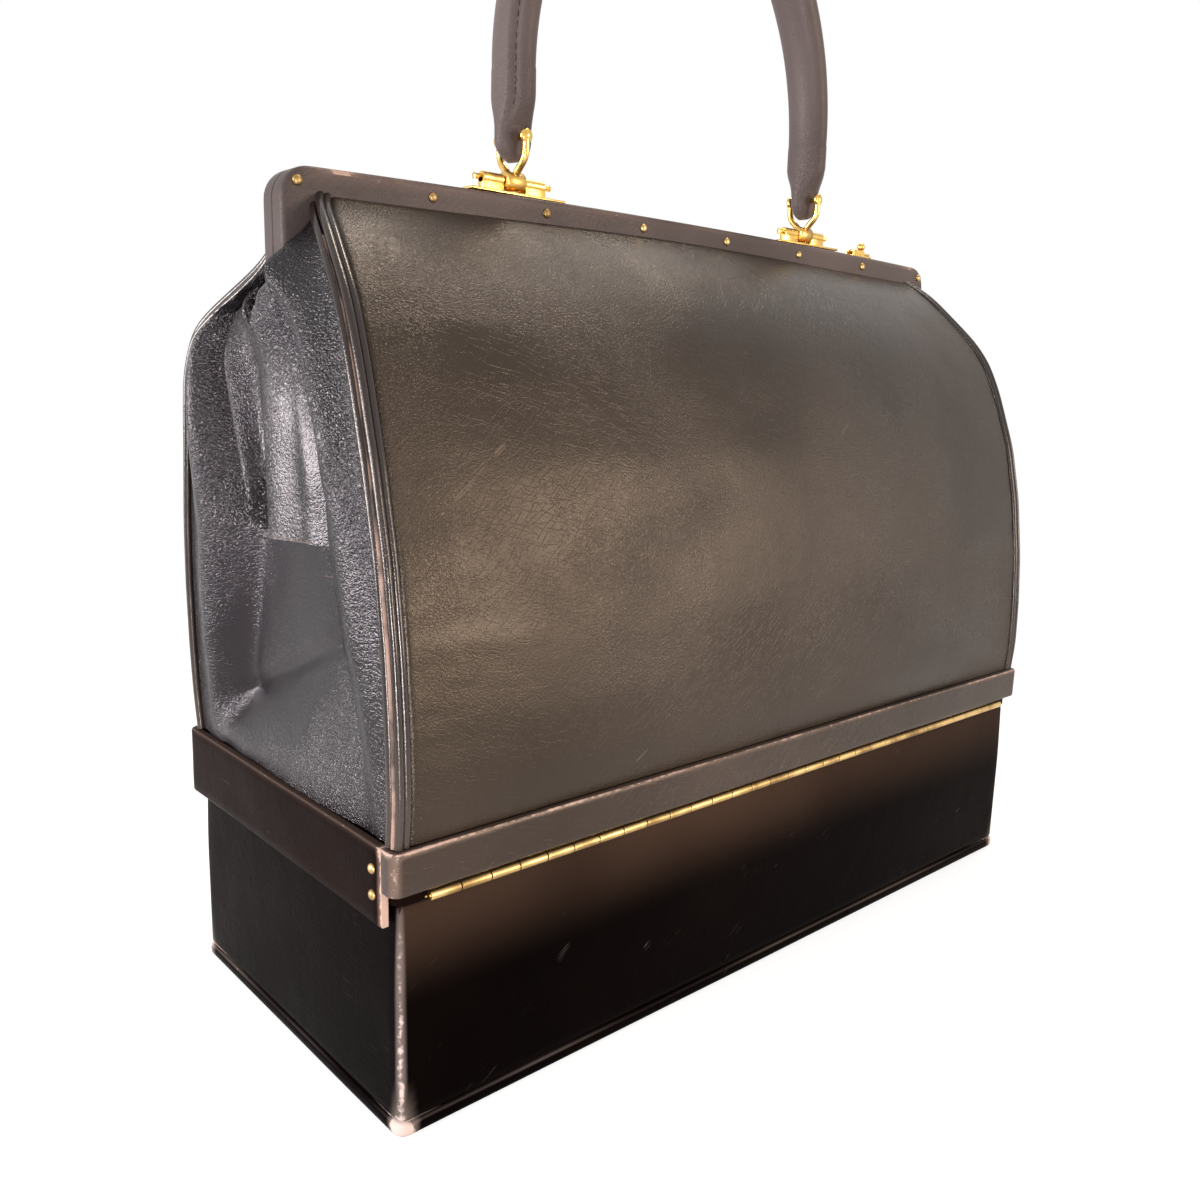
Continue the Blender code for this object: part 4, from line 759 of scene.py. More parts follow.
@dataclass
class LowerCase:
    """The rigid case: base, leather-covered box and cloth lining."""

    finishes: Finishes
    half_x: float = 0.165
    half_y: float = 0.068
    top: float = 0.0710
    corner: float = 0.0030
    base_thickness: float = 0.0045
    base_proud: float = 0.0006
    wall: float = 0.0057
    floor_top: float = 0.0083
    lining_thickness: float = 0.0009
    lining_drop: float = 0.0030
    gap: float = 0.0003

    def rings(self, profile: Outline, proud: float = 0.0, waves: float = 0.0) -> Points:
        """Rings through a profile of insets and heights; waves lifts the faces unevenly."""
        rings = []
        for inset, z in profile:
            radius = max(self.corner - inset + proud, 0.0012)
            rings.append(round_box(self.half_x + proud - inset, self.half_y + proud - inset, radius, z))
        points = np.array(rings)
        if waves:
            flat = points[..., :2] / np.array([self.half_x, self.half_y])
            middle = 1 - np.clip(np.abs(flat).min(axis=-1), 0, 1) ** 6
            lift = waves * middle * ripple(points, 14.0, 3.1)
            outward = points[..., :2] / np.linalg.norm(points[..., :2], axis=-1, keepdims=True)
            points[..., :2] += outward * lift[..., None]
        return points

    def build_cover(self) -> None:
        """The leather box, turned over its rim and down inside."""
        bottom = self.base_thickness + self.gap
        outer = [(0.0010, bottom), (0.0003, bottom + 0.0003), (0.0, bottom + 0.0010)]
        heights = np.linspace(bottom + 0.003, self.top - 0.0025, 18)
        lean = 0.0009
        outer += [(lean * float(eased(np.array((z - 0.040) / 0.040))), float(z)) for z in heights]
        rim = [(lean, self.top - 0.0010), (lean + 0.0003, self.top - 0.0003), (lean + 0.0010, self.top),
               (self.wall - 0.0008, self.top), (self.wall - 0.0002, self.top - 0.0002),
               (self.wall, self.top - 0.0008), (self.wall, self.top - 0.0200), (self.wall, self.floor_top)]
        shape = Shape()
        shape.add_loft(np.concatenate([self.rings(outer, waves=0.0003), self.rings(rim)]))
        make_piece(shape, "case_leather", 50, Body.CASE, self.finishes.case_calf, "black_leather",
                   "case_cover", "case_shell", wear=self.cover_wear)

    def cover_wear(self, co: Points) -> Points:
        """Rubbed corners and bottom edges."""
        corner = np.hypot(np.abs(co[:, 0]) - self.half_x, np.abs(co[:, 1]) - self.half_y)
        upright = np.clip(1.60 - corner / 0.0019, 0, 1) * (0.58 + 0.30 * ripple(co, 38.0, 9.0))
        foot = np.clip(1 - (co[:, 2] - self.base_thickness) / 0.0016, 0, 1) * 0.22
        outside = np.maximum(np.abs(co[:, 0]) - self.half_x, np.abs(co[:, 1]) - self.half_y) > -0.0015
        low = np.clip(1 - (co[:, 2] - self.base_thickness) / 0.016, 0, 1) * np.clip(1.3 - corner / 0.005, 0, 1)
        return np.where(outside, np.maximum(np.maximum(upright, foot), low * 0.56), 0.0)

    def build_base(self) -> None:
        """The covered base board."""
        profile = [(0.0016, 0.0), (0.0007, 0.0002), (0.0001, 0.0008), (0.0, 0.0016), (0.0, 0.0032),
                   (0.0003, 0.0040), (0.0010, self.base_thickness)]
        shape = Shape()
        shape.add_loft(self.rings(profile, self.base_proud, 0.0002))
        make_piece(shape, "base_leather", 50, Body.CASE, self.finishes.case_calf, "black_leather",
                   "case_base", wear=self.base_wear)

    def base_wear(self, co: Points) -> Points:
        """A scuffed top edge and bare corners."""
        corner = np.hypot(np.abs(co[:, 0]) - self.half_x, np.abs(co[:, 1]) - self.half_y)
        bare = np.clip(1.7 - corner / 0.0042, 0, 1) * (0.68 + 0.25 * ripple(co, 120.0, 6.0))
        edge = np.clip(1 - np.abs(co[:, 2] - 0.0041) / 0.0006, 0, 1) * (0.26 + 0.34 * ripple(co, 22.0, 4.0))
        return np.maximum(bare, edge)

    def build_lining(self) -> None:
        """The cloth lining, its top edge turned."""
        inset = self.wall + self.gap
        bottom = self.floor_top + self.gap
        top = self.top - self.lining_drop
        within = inset + self.lining_thickness
        profile = [(inset, bottom), (inset, bottom + 0.02), (inset, top - 0.0004), (inset + 0.0002, top),
                   (within - 0.0002, top), (within, top - 0.0004), (within, bottom + 0.02),
                   (within, bottom + 0.0030), (within + 0.0010, bottom + 0.0012),
                   (within + 0.0030, bottom + self.lining_thickness)]
        shape = Shape()
        shape.add_loft(self.rings(profile))
        make_piece(shape, "case_cloth_lining", 60, Body.CASE, self.finishes.lining, "lining", "case_lining")

    def build(self) -> None:
        """Build every piece of the case."""
        self.build_cover()
        self.build_base()
        self.build_lining()


@dataclass
class PianoHinge:
    """The long hinge: knuckles rolled from two leaves, on one pin."""

    finishes: Finishes
    y: float = 0.06935
    z: float = 0.0730
    length: float = 0.312
    knuckles: int = 30
    radius: float = 0.0015
    leaf: float = 0.0008
    leaf_width: float = 0.0042
    joint: float = 0.0004

    def knuckle(self) -> Piece:
        """One rolled knuckle, lying along X about the origin."""
        pitch = self.length / self.knuckles
        half = (pitch - self.joint) / 2
        edge = 0.00022
        profile = [(self.radius - edge, -half), (self.radius, -half + edge), (self.radius, half - edge),
                   (self.radius - edge, half)]
        shape = Shape()
        shape.add_turned(profile, ALONG_X, 16)
        return shape.build("knuckle_unit", 50)

    def build_leaf(self, name: str, side: int, first: int, body: Body, node: str) -> None:
        """One leaf with every other knuckle.

        Args:
            name: the piece's name.
            side: -1 for the leaf below the pin, 1 for the one above.
            first: the first knuckle that it carries.
            body: what it is fixed to.
            node: the CAD node that it stands for.
        """
        pitch = self.length / self.knuckles
        places = np.array([
            (-self.length / 2 + pitch * (index + 0.5), self.y, self.z)
            for index in range(first, self.knuckles, 2)
        ])
        unit = self.knuckle()
        pattern = Pattern.on_points((0.0, 0.0, 0.0), unit, self.finishes.aged)
        barrels = pattern.bake(name + "_knuckles", places, False, unit)
        barrels.data.set_sharp_from_angle(angle=math.radians(40))
        place_piece(barrels, body, self.finishes.aged, "brass", node)
        shape = Shape()
        back = self.y - self.radius - 0.0003
        far = self.z + side * (self.radius - 0.00015)
        near = far - side * self.leaf
        shape.add_block((-self.length / 2, back - self.leaf_width, min(far, near)),
                        (self.length / 2, back, max(far, near)), 0.0002, 2)
        make_piece(shape, name + "_plate", 40, body, self.finishes.aged, "brass")

    def build(self) -> None:
        """Build both leaves and dress the pin."""
        self.build_leaf("case_hinge", -1, 0, Body.CASE, "case_hinge_leaf")
        self.build_leaf("collar_hinge", 1, 1, Body.BAG, "collar_hinge_leaf")
        dress("hinge_pin", self.finishes.aged)


@dataclass
class Collar:
    """The rigid rim of the upper bag, with its leather skirt and back strip."""

    finishes: Finishes
    half_x: float = 0.1682
    half_y: float = 0.0709
    corner: float = 0.0035
    thickness: float = 0.0026
    top: float = 0.0884
    skirt_bottom: float = 0.0648
    strip_bottom: float = 0.0754
    end_y: float = 0.0640
    end_gap: float = 0.0003
    ring_half_x: float = 0.1653
    ring_half_y: float = 0.0677
    ring_wall: float = 0.0050
    ring_bottom: float = 0.0713
    ring_top: float = 0.0876
    ring_corner: float = 0.0035
    ring_seat: float = 0.0748
    hinge_half: float = 0.1565
    rivet_heights: tuple[float, float] = (0.0736, 0.0813)
    rivet_y: float = 0.0600

    def route(self, front: bool) -> tuple[Points, Points]:
        """The band's outer line with its outward directions.

        Args:
            front: the skirt's route round the front and ends, or the strip's along the back.

        Returns:
            Points in X and Y, and the outward direction at each.
        """
        inner_x = self.half_x - self.corner
        inner_y = self.half_y - self.corner
        way = -1.0 if front else 1.0
        if front:
            reach, columns = np.linspace(self.end_y, -inner_y, 60), 60
        else:
            reach, columns = np.linspace(self.end_y + self.end_gap, inner_y, 6), 100
        side = np.column_stack([np.full(len(reach), self.half_x), reach])
        arc = np.linspace(0, math.pi / 2, 9)
        turn_out = np.column_stack([np.cos(arc), way * np.sin(arc)])
        turn = np.array([inner_x, way * inner_y]) + self.corner * turn_out
        flat = np.column_stack([np.linspace(inner_x, 0, columns), np.full(columns, way * self.half_y)])
        half = np.concatenate([side[:-1], turn[:-1], flat])
        half_out = np.concatenate([
            np.tile((1.0, 0.0), (len(reach) - 1, 1)), turn_out[:-1], np.tile((0.0, way), (columns, 1))
        ])
        mirror = np.array([-1.0, 1.0])
        points = np.concatenate([half, half[-2::-1] * mirror])
        outward = np.concatenate([half_out, half_out[-2::-1] * mirror])
        return points, outward

    def band(self, front: bool, bottom: float) -> Shape:
        """A leather band with rounded edges and a slightly wavy face.

        Args:
            front: which route it takes.
            bottom: its lower edge.

        Returns:
            The band's shape.
        """
        points, outward = self.route(front)
        edge = 0.0008
        rise = np.linspace(bottom + edge, self.top - edge, 9)
        profile = [(-self.thickness, bottom), (-edge, bottom), (-edge * 0.3, bottom + edge * 0.3)]
        profile += [(0.0, float(z)) for z in rise]
        profile += [(-edge * 0.3, self.top - edge * 0.3), (-edge, self.top), (-self.thickness, self.top)]
        profile += [(-self.thickness, float(z)) for z in rise[::-3]]
        rings = []
        last = len(points) - 1
        for index, (point, out) in enumerate(zip(points, outward)):
            tuck = 0.0005 if index in (0, last) else 0.0
            ring = [
                (point[0] + out[0] * off, point[1] + out[1] * off, z)
                for off, z in ((min(off, -tuck) if off > -tuck else off, z) for off, z in profile)
            ]
            rings.append(ring)
        shape_points = np.array(rings)
        wave = 0.00035 * ripple(shape_points, 17.0, 5.5) + 0.00012 * ripple(shape_points, 70.0, 1.5)
        faces_out = np.array([off > -edge for off, z in profile])
        shape_points[..., :2] += outward[:, None, :] * (wave * faces_out)[..., None]
        shape = Shape()
        shape.add_loft(shape_points)
        return shape

    def strip_wear(self, co: Points) -> Points:
        """A rubbed top edge, barest near the corners."""
        edge = np.clip(1 - np.abs(co[:, 2] - self.top + 0.0003) / 0.0009, 0, 1)
        outer = np.clip((np.maximum(np.abs(co[:, 0]) - self.half_x, co[:, 1] - self.half_y) + 0.0012) / 0.0006, 0, 1)
        near = bell(np.abs(co[:, 0]), self.half_x, 0.030)
        line = edge * outer * (0.62 + 0.25 * ripple(co, 30.0, 2.0) + 0.3 * near)
        corner = np.hypot(np.abs(co[:, 0]) - self.half_x, co[:, 1] - self.half_y)
        return np.maximum(line, np.clip(1.15 - corner / 0.0035, 0, 1) * 0.60)

    def skirt_wear(self, co: Points) -> Points:
        """A raw upright end edge and rubbed lower edge."""
        end = np.clip(1 - (self.end_y - co[:, 1]) / 0.0013, 0, 1) * (0.70 + 0.22 * ripple(co, 150.0, 2.5))
        top = np.clip(1 - np.abs(co[:, 2] - self.top + 0.0003) / 0.0008, 0, 1) * 0.42
        return np.maximum(end, top)

    def build_leather(self) -> None:
        """The skirt and the back strip."""
        make_piece(self.band(True, self.skirt_bottom), "skirt_leather", 50, Body.BAG, self.finishes.skirt,
                   "black_leather", "collar_skirt", wear=self.skirt_wear)
        make_piece(self.band(False, self.strip_bottom), "back_strip_leather", 50, Body.BAG, self.finishes.strip,
                   "black_leather", "collar_back_strip", wear=self.strip_wear)

    def build_ring(self) -> None:
        """The board ring, with its seat for the hinge left free at the back."""
        inner_x = self.ring_half_x - self.ring_wall
        inner_y = self.ring_half_y - self.ring_wall
        rings = [
            round_box(half_x, half_y, self.ring_corner, z) for half_x, half_y, z in (
                (self.ring_half_x, self.ring_half_y, self.ring_bottom),
                (self.ring_half_x, self.ring_half_y, self.ring_top),
                (inner_x, inner_y, self.ring_top), (inner_x, inner_y, self.ring_bottom),
            )
        ]
        for ring in (rings[0], rings[-1]):
            over = (ring[:, 1] > inner_y - 0.001) & (np.abs(ring[:, 0]) < self.hinge_half + 0.0008)
            ring[over, 2] = self.ring_seat
        shape = Shape()
        shape.add_loft(np.array(rings), closed_path=True)
        make_piece(shape, "collar_board", 30, Body.BAG, self.finishes.skirt, "board", "collar_ring")

    def build_rivets(self) -> None:
        """Two brass rivets at each end of the skirt."""
        places = np.array([
            (end.value * self.half_x, self.rivet_y, z) for end in End for z in self.rivet_heights
        ])
        set_rivets("collar_rivets", places, (0.0, math.pi / 2, 0.0), Body.BAG, self.finishes.aged, "collar_ring")

    def build(self) -> None:
        """Build every piece of the collar."""
        self.build_leather()
        self.build_ring()
        self.build_rivets()
        dress("bag_floor", self.finishes.lining)


OUTLINE_STEPS = 5
DOME_STEPS = 8
RIVET_RADIUS = 0.0016
RIVET_RISE = 0.0011


def rounded_outline(corners: Outline, radius: float, inset: float) -> Points:
    """A right-angled outline with round corners, drawn inwards.

    Args:
        corners: its corners, anticlockwise.
        radius: of the corners before they are drawn inwards.
        inset: how far it is drawn inwards.

    Returns:
        The outline's points.
    """
    places = np.array(corners)
    points = []
    for index, place in enumerate(places):
        before = place - places[index - 1]
        after = places[(index + 1) % len(places)] - place
        before, after = before / np.linalg.norm(before), after / np.linalg.norm(after)
        turn = float(np.sign(before[0] * after[1] - before[1] * after[0]))
        inward = np.array([-before[1], before[0]])
        inward_after = np.array([-after[1], after[0]])
        moved = place + inset * (inward + inward_after)
        bend = max(radius - inset * turn, 0.0001)
        centre = moved - before * bend + inward * turn * bend
        for angle in np.linspace(0, math.pi / 2, OUTLINE_STEPS + 1):
            points.append(centre - turn * bend * (math.cos(angle) * inward + math.sin(angle) * inward_after))
    return np.array(points)


def set_rivets(
    name: str, places: Points, turn: tuple[float, float, float], body: Body, material: Material, node: str
) -> None:
    """Set a domed rivet on every place.

    Args:
        name: the piece's name.
        places: the rivets' middles.
        turn: the rivets' turn in radians about X, Y and Z; unturned ones face up.
        body: the body that they ride on.
        material: their finish.
        node: the CAD node that they stand for.
    """
    angles = np.linspace(-math.pi / 2, math.pi / 2, DOME_STEPS + 1)
    profile = [(max(RIVET_RADIUS * math.cos(a), RIVET_RADIUS * 0.02), RIVET_RISE * math.sin(a)) for a in angles]
    shape = Shape()
    shape.add_turned(profile, Matrix.Identity(4), 20)
    unit = shape.build(name + "_unit", 60)
    rivets = Pattern.on_points(turn, unit, material).bake(name, places, False, unit)
    place_piece(rivets, body, material, "brass", node)


# Soft upper bag

# height up the soft part, and how far out and along the seam lies there, at the back and at the front
PANEL_SHARES = (
    (0.000, 0.985, 1.000, 0.985, 1.000),
    (0.070, 1.000, 1.000, 1.000, 1.000),
    (0.180, 0.993, 1.000, 0.998, 1.000),
    (0.300, 0.970, 1.000, 0.985, 1.000),
    (0.445, 0.920, 1.000, 0.945, 1.000),
    (0.575, 0.845, 1.000, 0.890, 1.000),
    (0.715, 0.720, 0.994, 0.845, 0.999),
    (0.785, 0.640, 0.989, 0.785, 0.992),
    (0.812, 0.597, 0.985, 0.720, 0.980),
    (0.848, 0.535, 0.980, 0.565, 0.962),
    (0.900, 0.415, 0.970, 0.310, 0.941),
    (0.945, 0.290, 0.956, 0.220, 0.932),
    (0.978, 0.170, 0.942, 0.140, 0.924),
    (1.000, 0.072, 0.918, 0.072, 0.918),
)
# heights on an end, and at each the tongue's front and back edges
EDGE_Z = (0.0887, 0.1200, 0.1400, 0.1657, 0.1800, 0.2000, 0.2210, 0.2340, 0.2430, 0.2626)
FRONT_EDGE_Y = (-0.0300, -0.0220, -0.0140, -0.0060, -0.0120, -0.0205, -0.0300, -0.0350, -0.0390, -0.0400)
BACK_EDGE_Y = (0.0560, 0.0480, 0.0420, 0.0360, 0.0350, 0.0300, 0.0210, 0.0120, 0.0060, 0.0050)
# the same heights, and how far each fold stands out there
FRONT_VALLEY = (-0.0095, -0.0095, -0.0100, -0.0115, -0.0120, -0.0105, -0.0070, -0.0035, -0.0010, 0.0)
FRONT_RIDGE = (0.0034, 0.0034, 0.0034, 0.0036, 0.0036, 0.0034, 0.0026, 0.0014, 0.0004, 0.0)
BACK_VALLEY = (-0.0030, -0.0034, -0.0038, -0.0044, -0.0044, -0.0042, -0.0032, -0.0014, -0.0002, 0.0)
BACK_ROLL = (0.0006, 0.0018, 0.0030, 0.0042, 0.0050, 0.0056, 0.0054, 0.0046, 0.0030, 0.0)
# heights on an end, and how far the front corner leans out there
LEAN_SHARES = ((0.0, 0.0), (0.15, 0.35), (0.40, 0.75), (0.66, 1.0), (0.76, 0.9), (0.88, 0.3), (1.0, 0.0))
# where up the soft part the left end's back corner is drawn in, and over what reach
PINCH_SHARE, PINCH_WIDTH = 0.91, 0.075
# each roll of a welt: how far along and out it lies from the seam, and its radius
WELT_ROLLS = ((-0.0021, 0.0007, 0.00130), (0.0001, 0.0009, 0.00125), (0.0013, -0.0018, 0.00130))
PANEL_ROWS, PANEL_COLUMNS = 96, 151
END_COLUMNS, TONGUE_COLUMNS = 44, 19
LOW_ROWS, LIP_ROWS, REAR_ROWS, FOLD_ROWS, TONGUE_ROWS = 60, 8, 76, 120, 60


@dataclass
class SoftBag:
    """The soft leather upper: two panels, two ends and the rolled welts between them."""

    finishes: Finishes
    half_width: float = 0.1644
    half_depth: float = 0.068
    bottom: float = 0.0887
    top: float = 0.2645
    leather: float = 0.0022
    proud: float = 0.0006
    panel_edge: float = 0.0030
    end_edge: float = 0.0032
    crown: float = 0.0030
    flare: float = 0.0030
    leg_share: float = 0.2
    leg_edge: float = 0.0067
    over_leg: float = 0.1662
    recess: float = 0.0095
    horn: float = 0.0036
    tongue_bottom: float = 0.1657
    tongue_top: float = 0.2405
    rim_slant: float = 0.0035
    pinch_share: float = 0.032
    pinched: float = 0.0
    fold_line: float = 0.1010
    lip_share: float = 0.035
    edge_roll: float = 0.0016

    @property
    def height(self) -> float:
        """The soft part's height."""
        return self.top - self.bottom

    @property
    def foot(self) -> float:
        """The tongue's lower edge as a share of the soft height."""
        return (self.tongue_bottom - self.bottom) / self.height

    def seam(self, share: Points, front: Points) -> Points:
        """Points of the corner seam for +X and +Y; front is 1 on the front corner, which flares out."""
        lean = self.flare * smooth_curve(LEAN_SHARES, 1, share)
        out, along, front_out, front_along = (smooth_curve(PANEL_SHARES, column, share) for column in (1, 2, 3, 4))
        along = along - self.pinch_share * bell(share, PINCH_SHARE, PINCH_WIDTH) * self.pinched
        return np.stack([
            self.half_width * (along + (front_along - along) * front) + lean * front,
            self.half_depth * (out + (front_out - out) * front),
            self.bottom + self.height * share,
        ], axis=-1)

    def slope(self, share: Points, front: Points) -> Points:
        """The seam's outward direction at each share, in Y and Z."""
        step = 0.02
        low = self.seam(np.clip(share - step, 0, 1), front)
        high = self.seam(np.clip(share + step, 0, 1), front)
        rise = high - low
        out = np.stack([np.zeros_like(share), rise[..., 2], -rise[..., 1]], axis=-1)
        return out / np.linalg.norm(out, axis=-1, keepdims=True)

    def build_panel(self, side: Side) -> None:
        """A side panel that sags softly from the frame to the collar."""
        spread = np.linspace(-1, 1, PANEL_COLUMNS)
        across = np.sign(spread) * (1 - (1 - np.abs(spread)) ** 1.25)
        share, across = np.meshgrid(np.linspace(0, 1, PANEL_ROWS), across, indexing="ij")
        front = np.full_like(share, 1.0 if side is Side.FRONT else 0.0)
        seam = self.seam(share, front)
        out = self.slope(share, front)
        pinch = self.half_width * self.pinch_share * bell(share, PINCH_SHARE, PINCH_WIDTH)
        pinch = pinch * (across < 0) * (1 - front)
        half = seam[..., 0] - self.panel_edge - pinch
        x = across * half
        open_share = 1 - across ** 2
        places = np.stack([x, np.full_like(x, side.value * 1.0), seam[..., 2]], axis=-1)
        sag = 0.0013 * ripple(places, 9.0, 2.7) * open_share ** 0.5 + 0.00035 * ripple(places, 31.0, 6.1)
        puckers = 0.00025 * ripple(places * np.array([0.6, 1.0, 1.7]), 95.0, 8.8) * bell(np.abs(across), 1.0, 0.30)
        swell = self.crown * open_share * np.sin(math.pi * share) + (sag + puckers) * np.sin(math.pi * share) ** 0.4
        from_edge = np.minimum((1 - np.abs(across)) * half, self.edge_roll)
        rest = np.maximum(self.edge_roll ** 2 - (self.edge_roll - from_edge) ** 2, 0)
        drop = self.edge_roll - np.sqrt(rest)
        crown = 0.0024 * (1 - (x / 0.163) ** 2) * share ** 4 * open_share
        outer = seam + out * (self.proud + 0.0006 + swell - drop)[..., None]
        outer[..., 0] = x
        outer[..., 2] += crown
        inner = outer - out * self.leather
        outer[..., 1] *= side.value
        inner[..., 1] *= side.value
        shape = Shape()
        shape.add_sheet(outer, inner)
        name = side.name.lower() + "_panel"
        self.hang(shape.build(name + "_leather", 50), side, self.finishes.calf, name)

    def hang(self, piece: Piece, side: Side, material: Material, node: str) -> None:
        """Dress a soft piece and let it ride on the upper bag, or, for the front, bake its placing into its mesh and
        leave it with no parent.
        """
        piece.data.materials.append(material)
        if side is Side.BACK:
            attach(piece, Body.BAG.value)
        else:
            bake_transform(piece)
        if node:
            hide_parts(node)
        LOG.info("%s is sewn in", piece.name)

    def end_plan(self, across: Points, share: Points) -> tuple[Points, Points, Points]:
        """Where an end's grid point lies in Y and Z, and the plane it is drawn in from."""
        side = np.where(across >= 0, 1.0, -1.0)
        reach = np.abs(across)
        front = (side < 0).astype(float)
        seam = self.seam(share, front)
        edge = seam - self.slope(share, front) * self.end_edge
        part = np.clip((reach - self.leg_share) / (1 - self.leg_share), 0, 1)
        deep = np.maximum(edge[..., 1], self.leg_edge)
        y = np.where(reach <= self.leg_share, self.leg_edge * reach / self.leg_share,
                     self.leg_edge + (deep - self.leg_edge) * part)
        foot = self.rim_foot(across)
        top = foot + (self.top - foot) * part
        above = (share - self.foot) / (1 - self.foot)
        z = np.where(share > self.foot, self.tongue_bottom + (top - self.tongue_bottom) * above,
                     self.bottom + self.height * share)
        z = z + (edge[..., 2] - seam[..., 2]) * part ** 3 * np.clip((1 - share) * 30, 0, 1)
        side_x = np.maximum(edge[..., 0], self.half_width * (0.942 - 0.016 * front)) + self.proud
        plane = self.over_leg + (side_x - self.over_leg) * eased(part)
        return plane, side * y, z

    def rim_foot(self, across: Points) -> Points:
        """Where the tongue's upper rim crosses the legs: lower towards the front."""
        return self.tongue_top + self.rim_slant * np.clip(across / self.leg_share, -1, 1)

    def across_folds(self, y: Points, z: Points, deep: Points, heights: Sequence[object]) -> Points:
        """Run a soft line over an end's folds, from the front seam to the back seam.

        Args:
            y: where each point lies across the end.
            z: the points' heights.
            deep: how far out the seams lie at each point.
            heights: the line's height at the front seam, front roll, front valley, ridge foot, ridge, hollow,
                middle, hollow, back valley, roll shoulder, roll and back seam.

        Returns:
            The line's height at each point.
        """
        front = np.maximum(np.interp(z, EDGE_Z, FRONT_EDGE_Y), -deep + 0.0030)
        back = np.minimum(np.interp(z, EDGE_Z, BACK_EDGE_Y), deep - 0.0030)
        room = front + deep
        rest = deep - back
        places = [-deep, -deep + 0.30 * room, -deep + 0.70 * room, -deep + 0.90 * room, front + 0.0022,
                  front * 0.45, 0 * y, back * 0.50, back - 0.0045 * eased(back / 0.02), back + 0.0015,
                  back + 0.36 * rest, deep]
        value = np.broadcast_to(np.asarray(heights[0], float), y.shape).copy()
        for low, high, start, end in zip(places, places[1:], heights, heights[1:]):
            part = eased((y - low) / np.maximum(high - low, 1e-6))
            value = np.where(y > low, start + (end - start) * part, value)
        return value

    def end_surface(self, across: Points, share: Points, covered: bool = True) -> Points:
        """An end's outer surface: rolls beside the seams, the drawn-in fold and the tongue over the legs.

        Args:
            across: from -1 at the front seam to 1 at the back seam.
            share: the share of the soft height.
            covered: whether the tongue lies over the legs above its foot.

        Returns:
            The points, for the +X end.
        """
        plane, y, z = self.end_plan(across, share)
        front = (y < 0).astype(float)
        edge = self.seam(share, front) - self.slope(share, front) * self.end_edge
        deep = np.maximum(edge[..., 1], self.leg_edge)
        crease = np.clip(0.101 + (y + 0.055) * 0.44, 0.099, 0.144)
        low = eased((z - self.bottom - 0.0025) / (crease - self.bottom - 0.0025))
        middle = self.recess * low + 0.0018 * bell(z, crease + 0.001, 0.0032)
        weight = self.across_folds(y, z, deep, (0, 0, 1, 1, 1, 1, 1, 1, 1, 0, 0, 0))
        roll = np.interp(z, EDGE_Z, BACK_ROLL)
        raised = self.across_folds(y, z, deep, (0, roll, 0, 0, 0, 0, 0, 0, 0, roll * 0.5, roll, 0))
        below = raised - weight * middle
        height = below
        if covered:
            valley = np.interp(z, EDGE_Z, FRONT_VALLEY)
            ridge = np.interp(z, EDGE_Z, FRONT_RIDGE)
            hollow = -0.0010 * eased((0.236 - z) / 0.02)
            behind = np.interp(z, EDGE_Z, BACK_VALLEY)
            above = self.across_folds(y, z, deep, (
                0, roll, valley, valley * 0.6, ridge, hollow * 2.4, 0.0012, hollow * 1.6, behind, roll * 0.5, roll, 0
            ))
            length = 0.0045 * np.clip((-y - 0.001) / 0.0057, 0, 1)
            onset = np.where(length > 1e-5, eased((z - self.tongue_bottom) / np.maximum(length, 1e-5)), 1.0)
            onset = np.where(share < self.foot - 1e-6, 0.0, onset)
            height = below + (above - below) * onset
            reach = np.clip((np.abs(across) - self.leg_share) / (1 - self.leg_share), 0, 1)
            foot = self.rim_foot(across)
            rim = foot + (self.top - foot) * reach
            beside = bell(reach, 0.22, 0.34)
            height = height + self.horn * bell(z, rim - 0.0105, 0.0085) * beside
            drawn = 0.0024 + 0.0055 * eased(reach * (8 + 12 * front))
            ramp = 0.0060 + 0.0080 * front
            height = height - drawn * eased((z - rim + ramp) / ramp) ** 2
        places = np.stack([np.full_like(y, 4.0), y, z], axis=-1)
        inside = eased((1 - np.abs(across)) * 5)
        height = height + (0.0009 * ripple(places, 24.0, 1.3) + 0.0003 * ripple(places, 80.0, 2.3)) * inside
        return np.stack([plane + height, y, z], axis=-1)

    def fold_share(self, across: Points) -> Points:
        """Where the line that the front fold starts on crosses each column."""
        shares = np.linspace(0, 1, 400)
        found = []
        for value in across:
            _, y, z = self.end_plan(np.full_like(shares, value), shares)
            found.append(float(np.interp(self.fold_line, np.maximum.accumulate(y + z), shares)))
        return np.array(found)

    def sheet_of(self, shape: Shape, end: End, points: Points, tuck: Points = 0.0) -> None:
        """Add a leather sheet to a shape, drawn in by tuck, on one end; it thins to its upper rim."""
        outer = points.copy()
        outer[..., 0] -= tuck
        inner = outer.copy()
        inner[..., 0] -= self.leather * (1 - 0.75 * eased((points[..., 2] - self.tongue_top + 0.006) / 0.006))
        outer[..., 0] *= end.value
        inner[..., 0] *= end.value
        shape.add_sheet(outer, inner)

    def edge_wear(self, co: Points) -> Points:
        """The tongue's lower edge, lightly rubbed."""
        reach = eased((0.024 - np.abs(co[:, 1] - 0.008)) / 0.004)
        return 0.34 * bell(co[:, 2], self.tongue_bottom + 0.0004, 0.0009) * reach * (np.abs(co[:, 0]) > 0.1635)

    def build_end(self, end: End) -> None:
        """One end in three pieces that meet edge to edge: rear and lower, front fold, middle tongue."""
        name = end.name.lower()
        leg = self.leg_share
        front = np.linspace(-1, -leg, END_COLUMNS)
        middle = np.linspace(-leg, leg, TONGUE_COLUMNS)
        rear = np.linspace(leg, 1, END_COLUMNS)
        start = self.fold_share(front)[None, :]

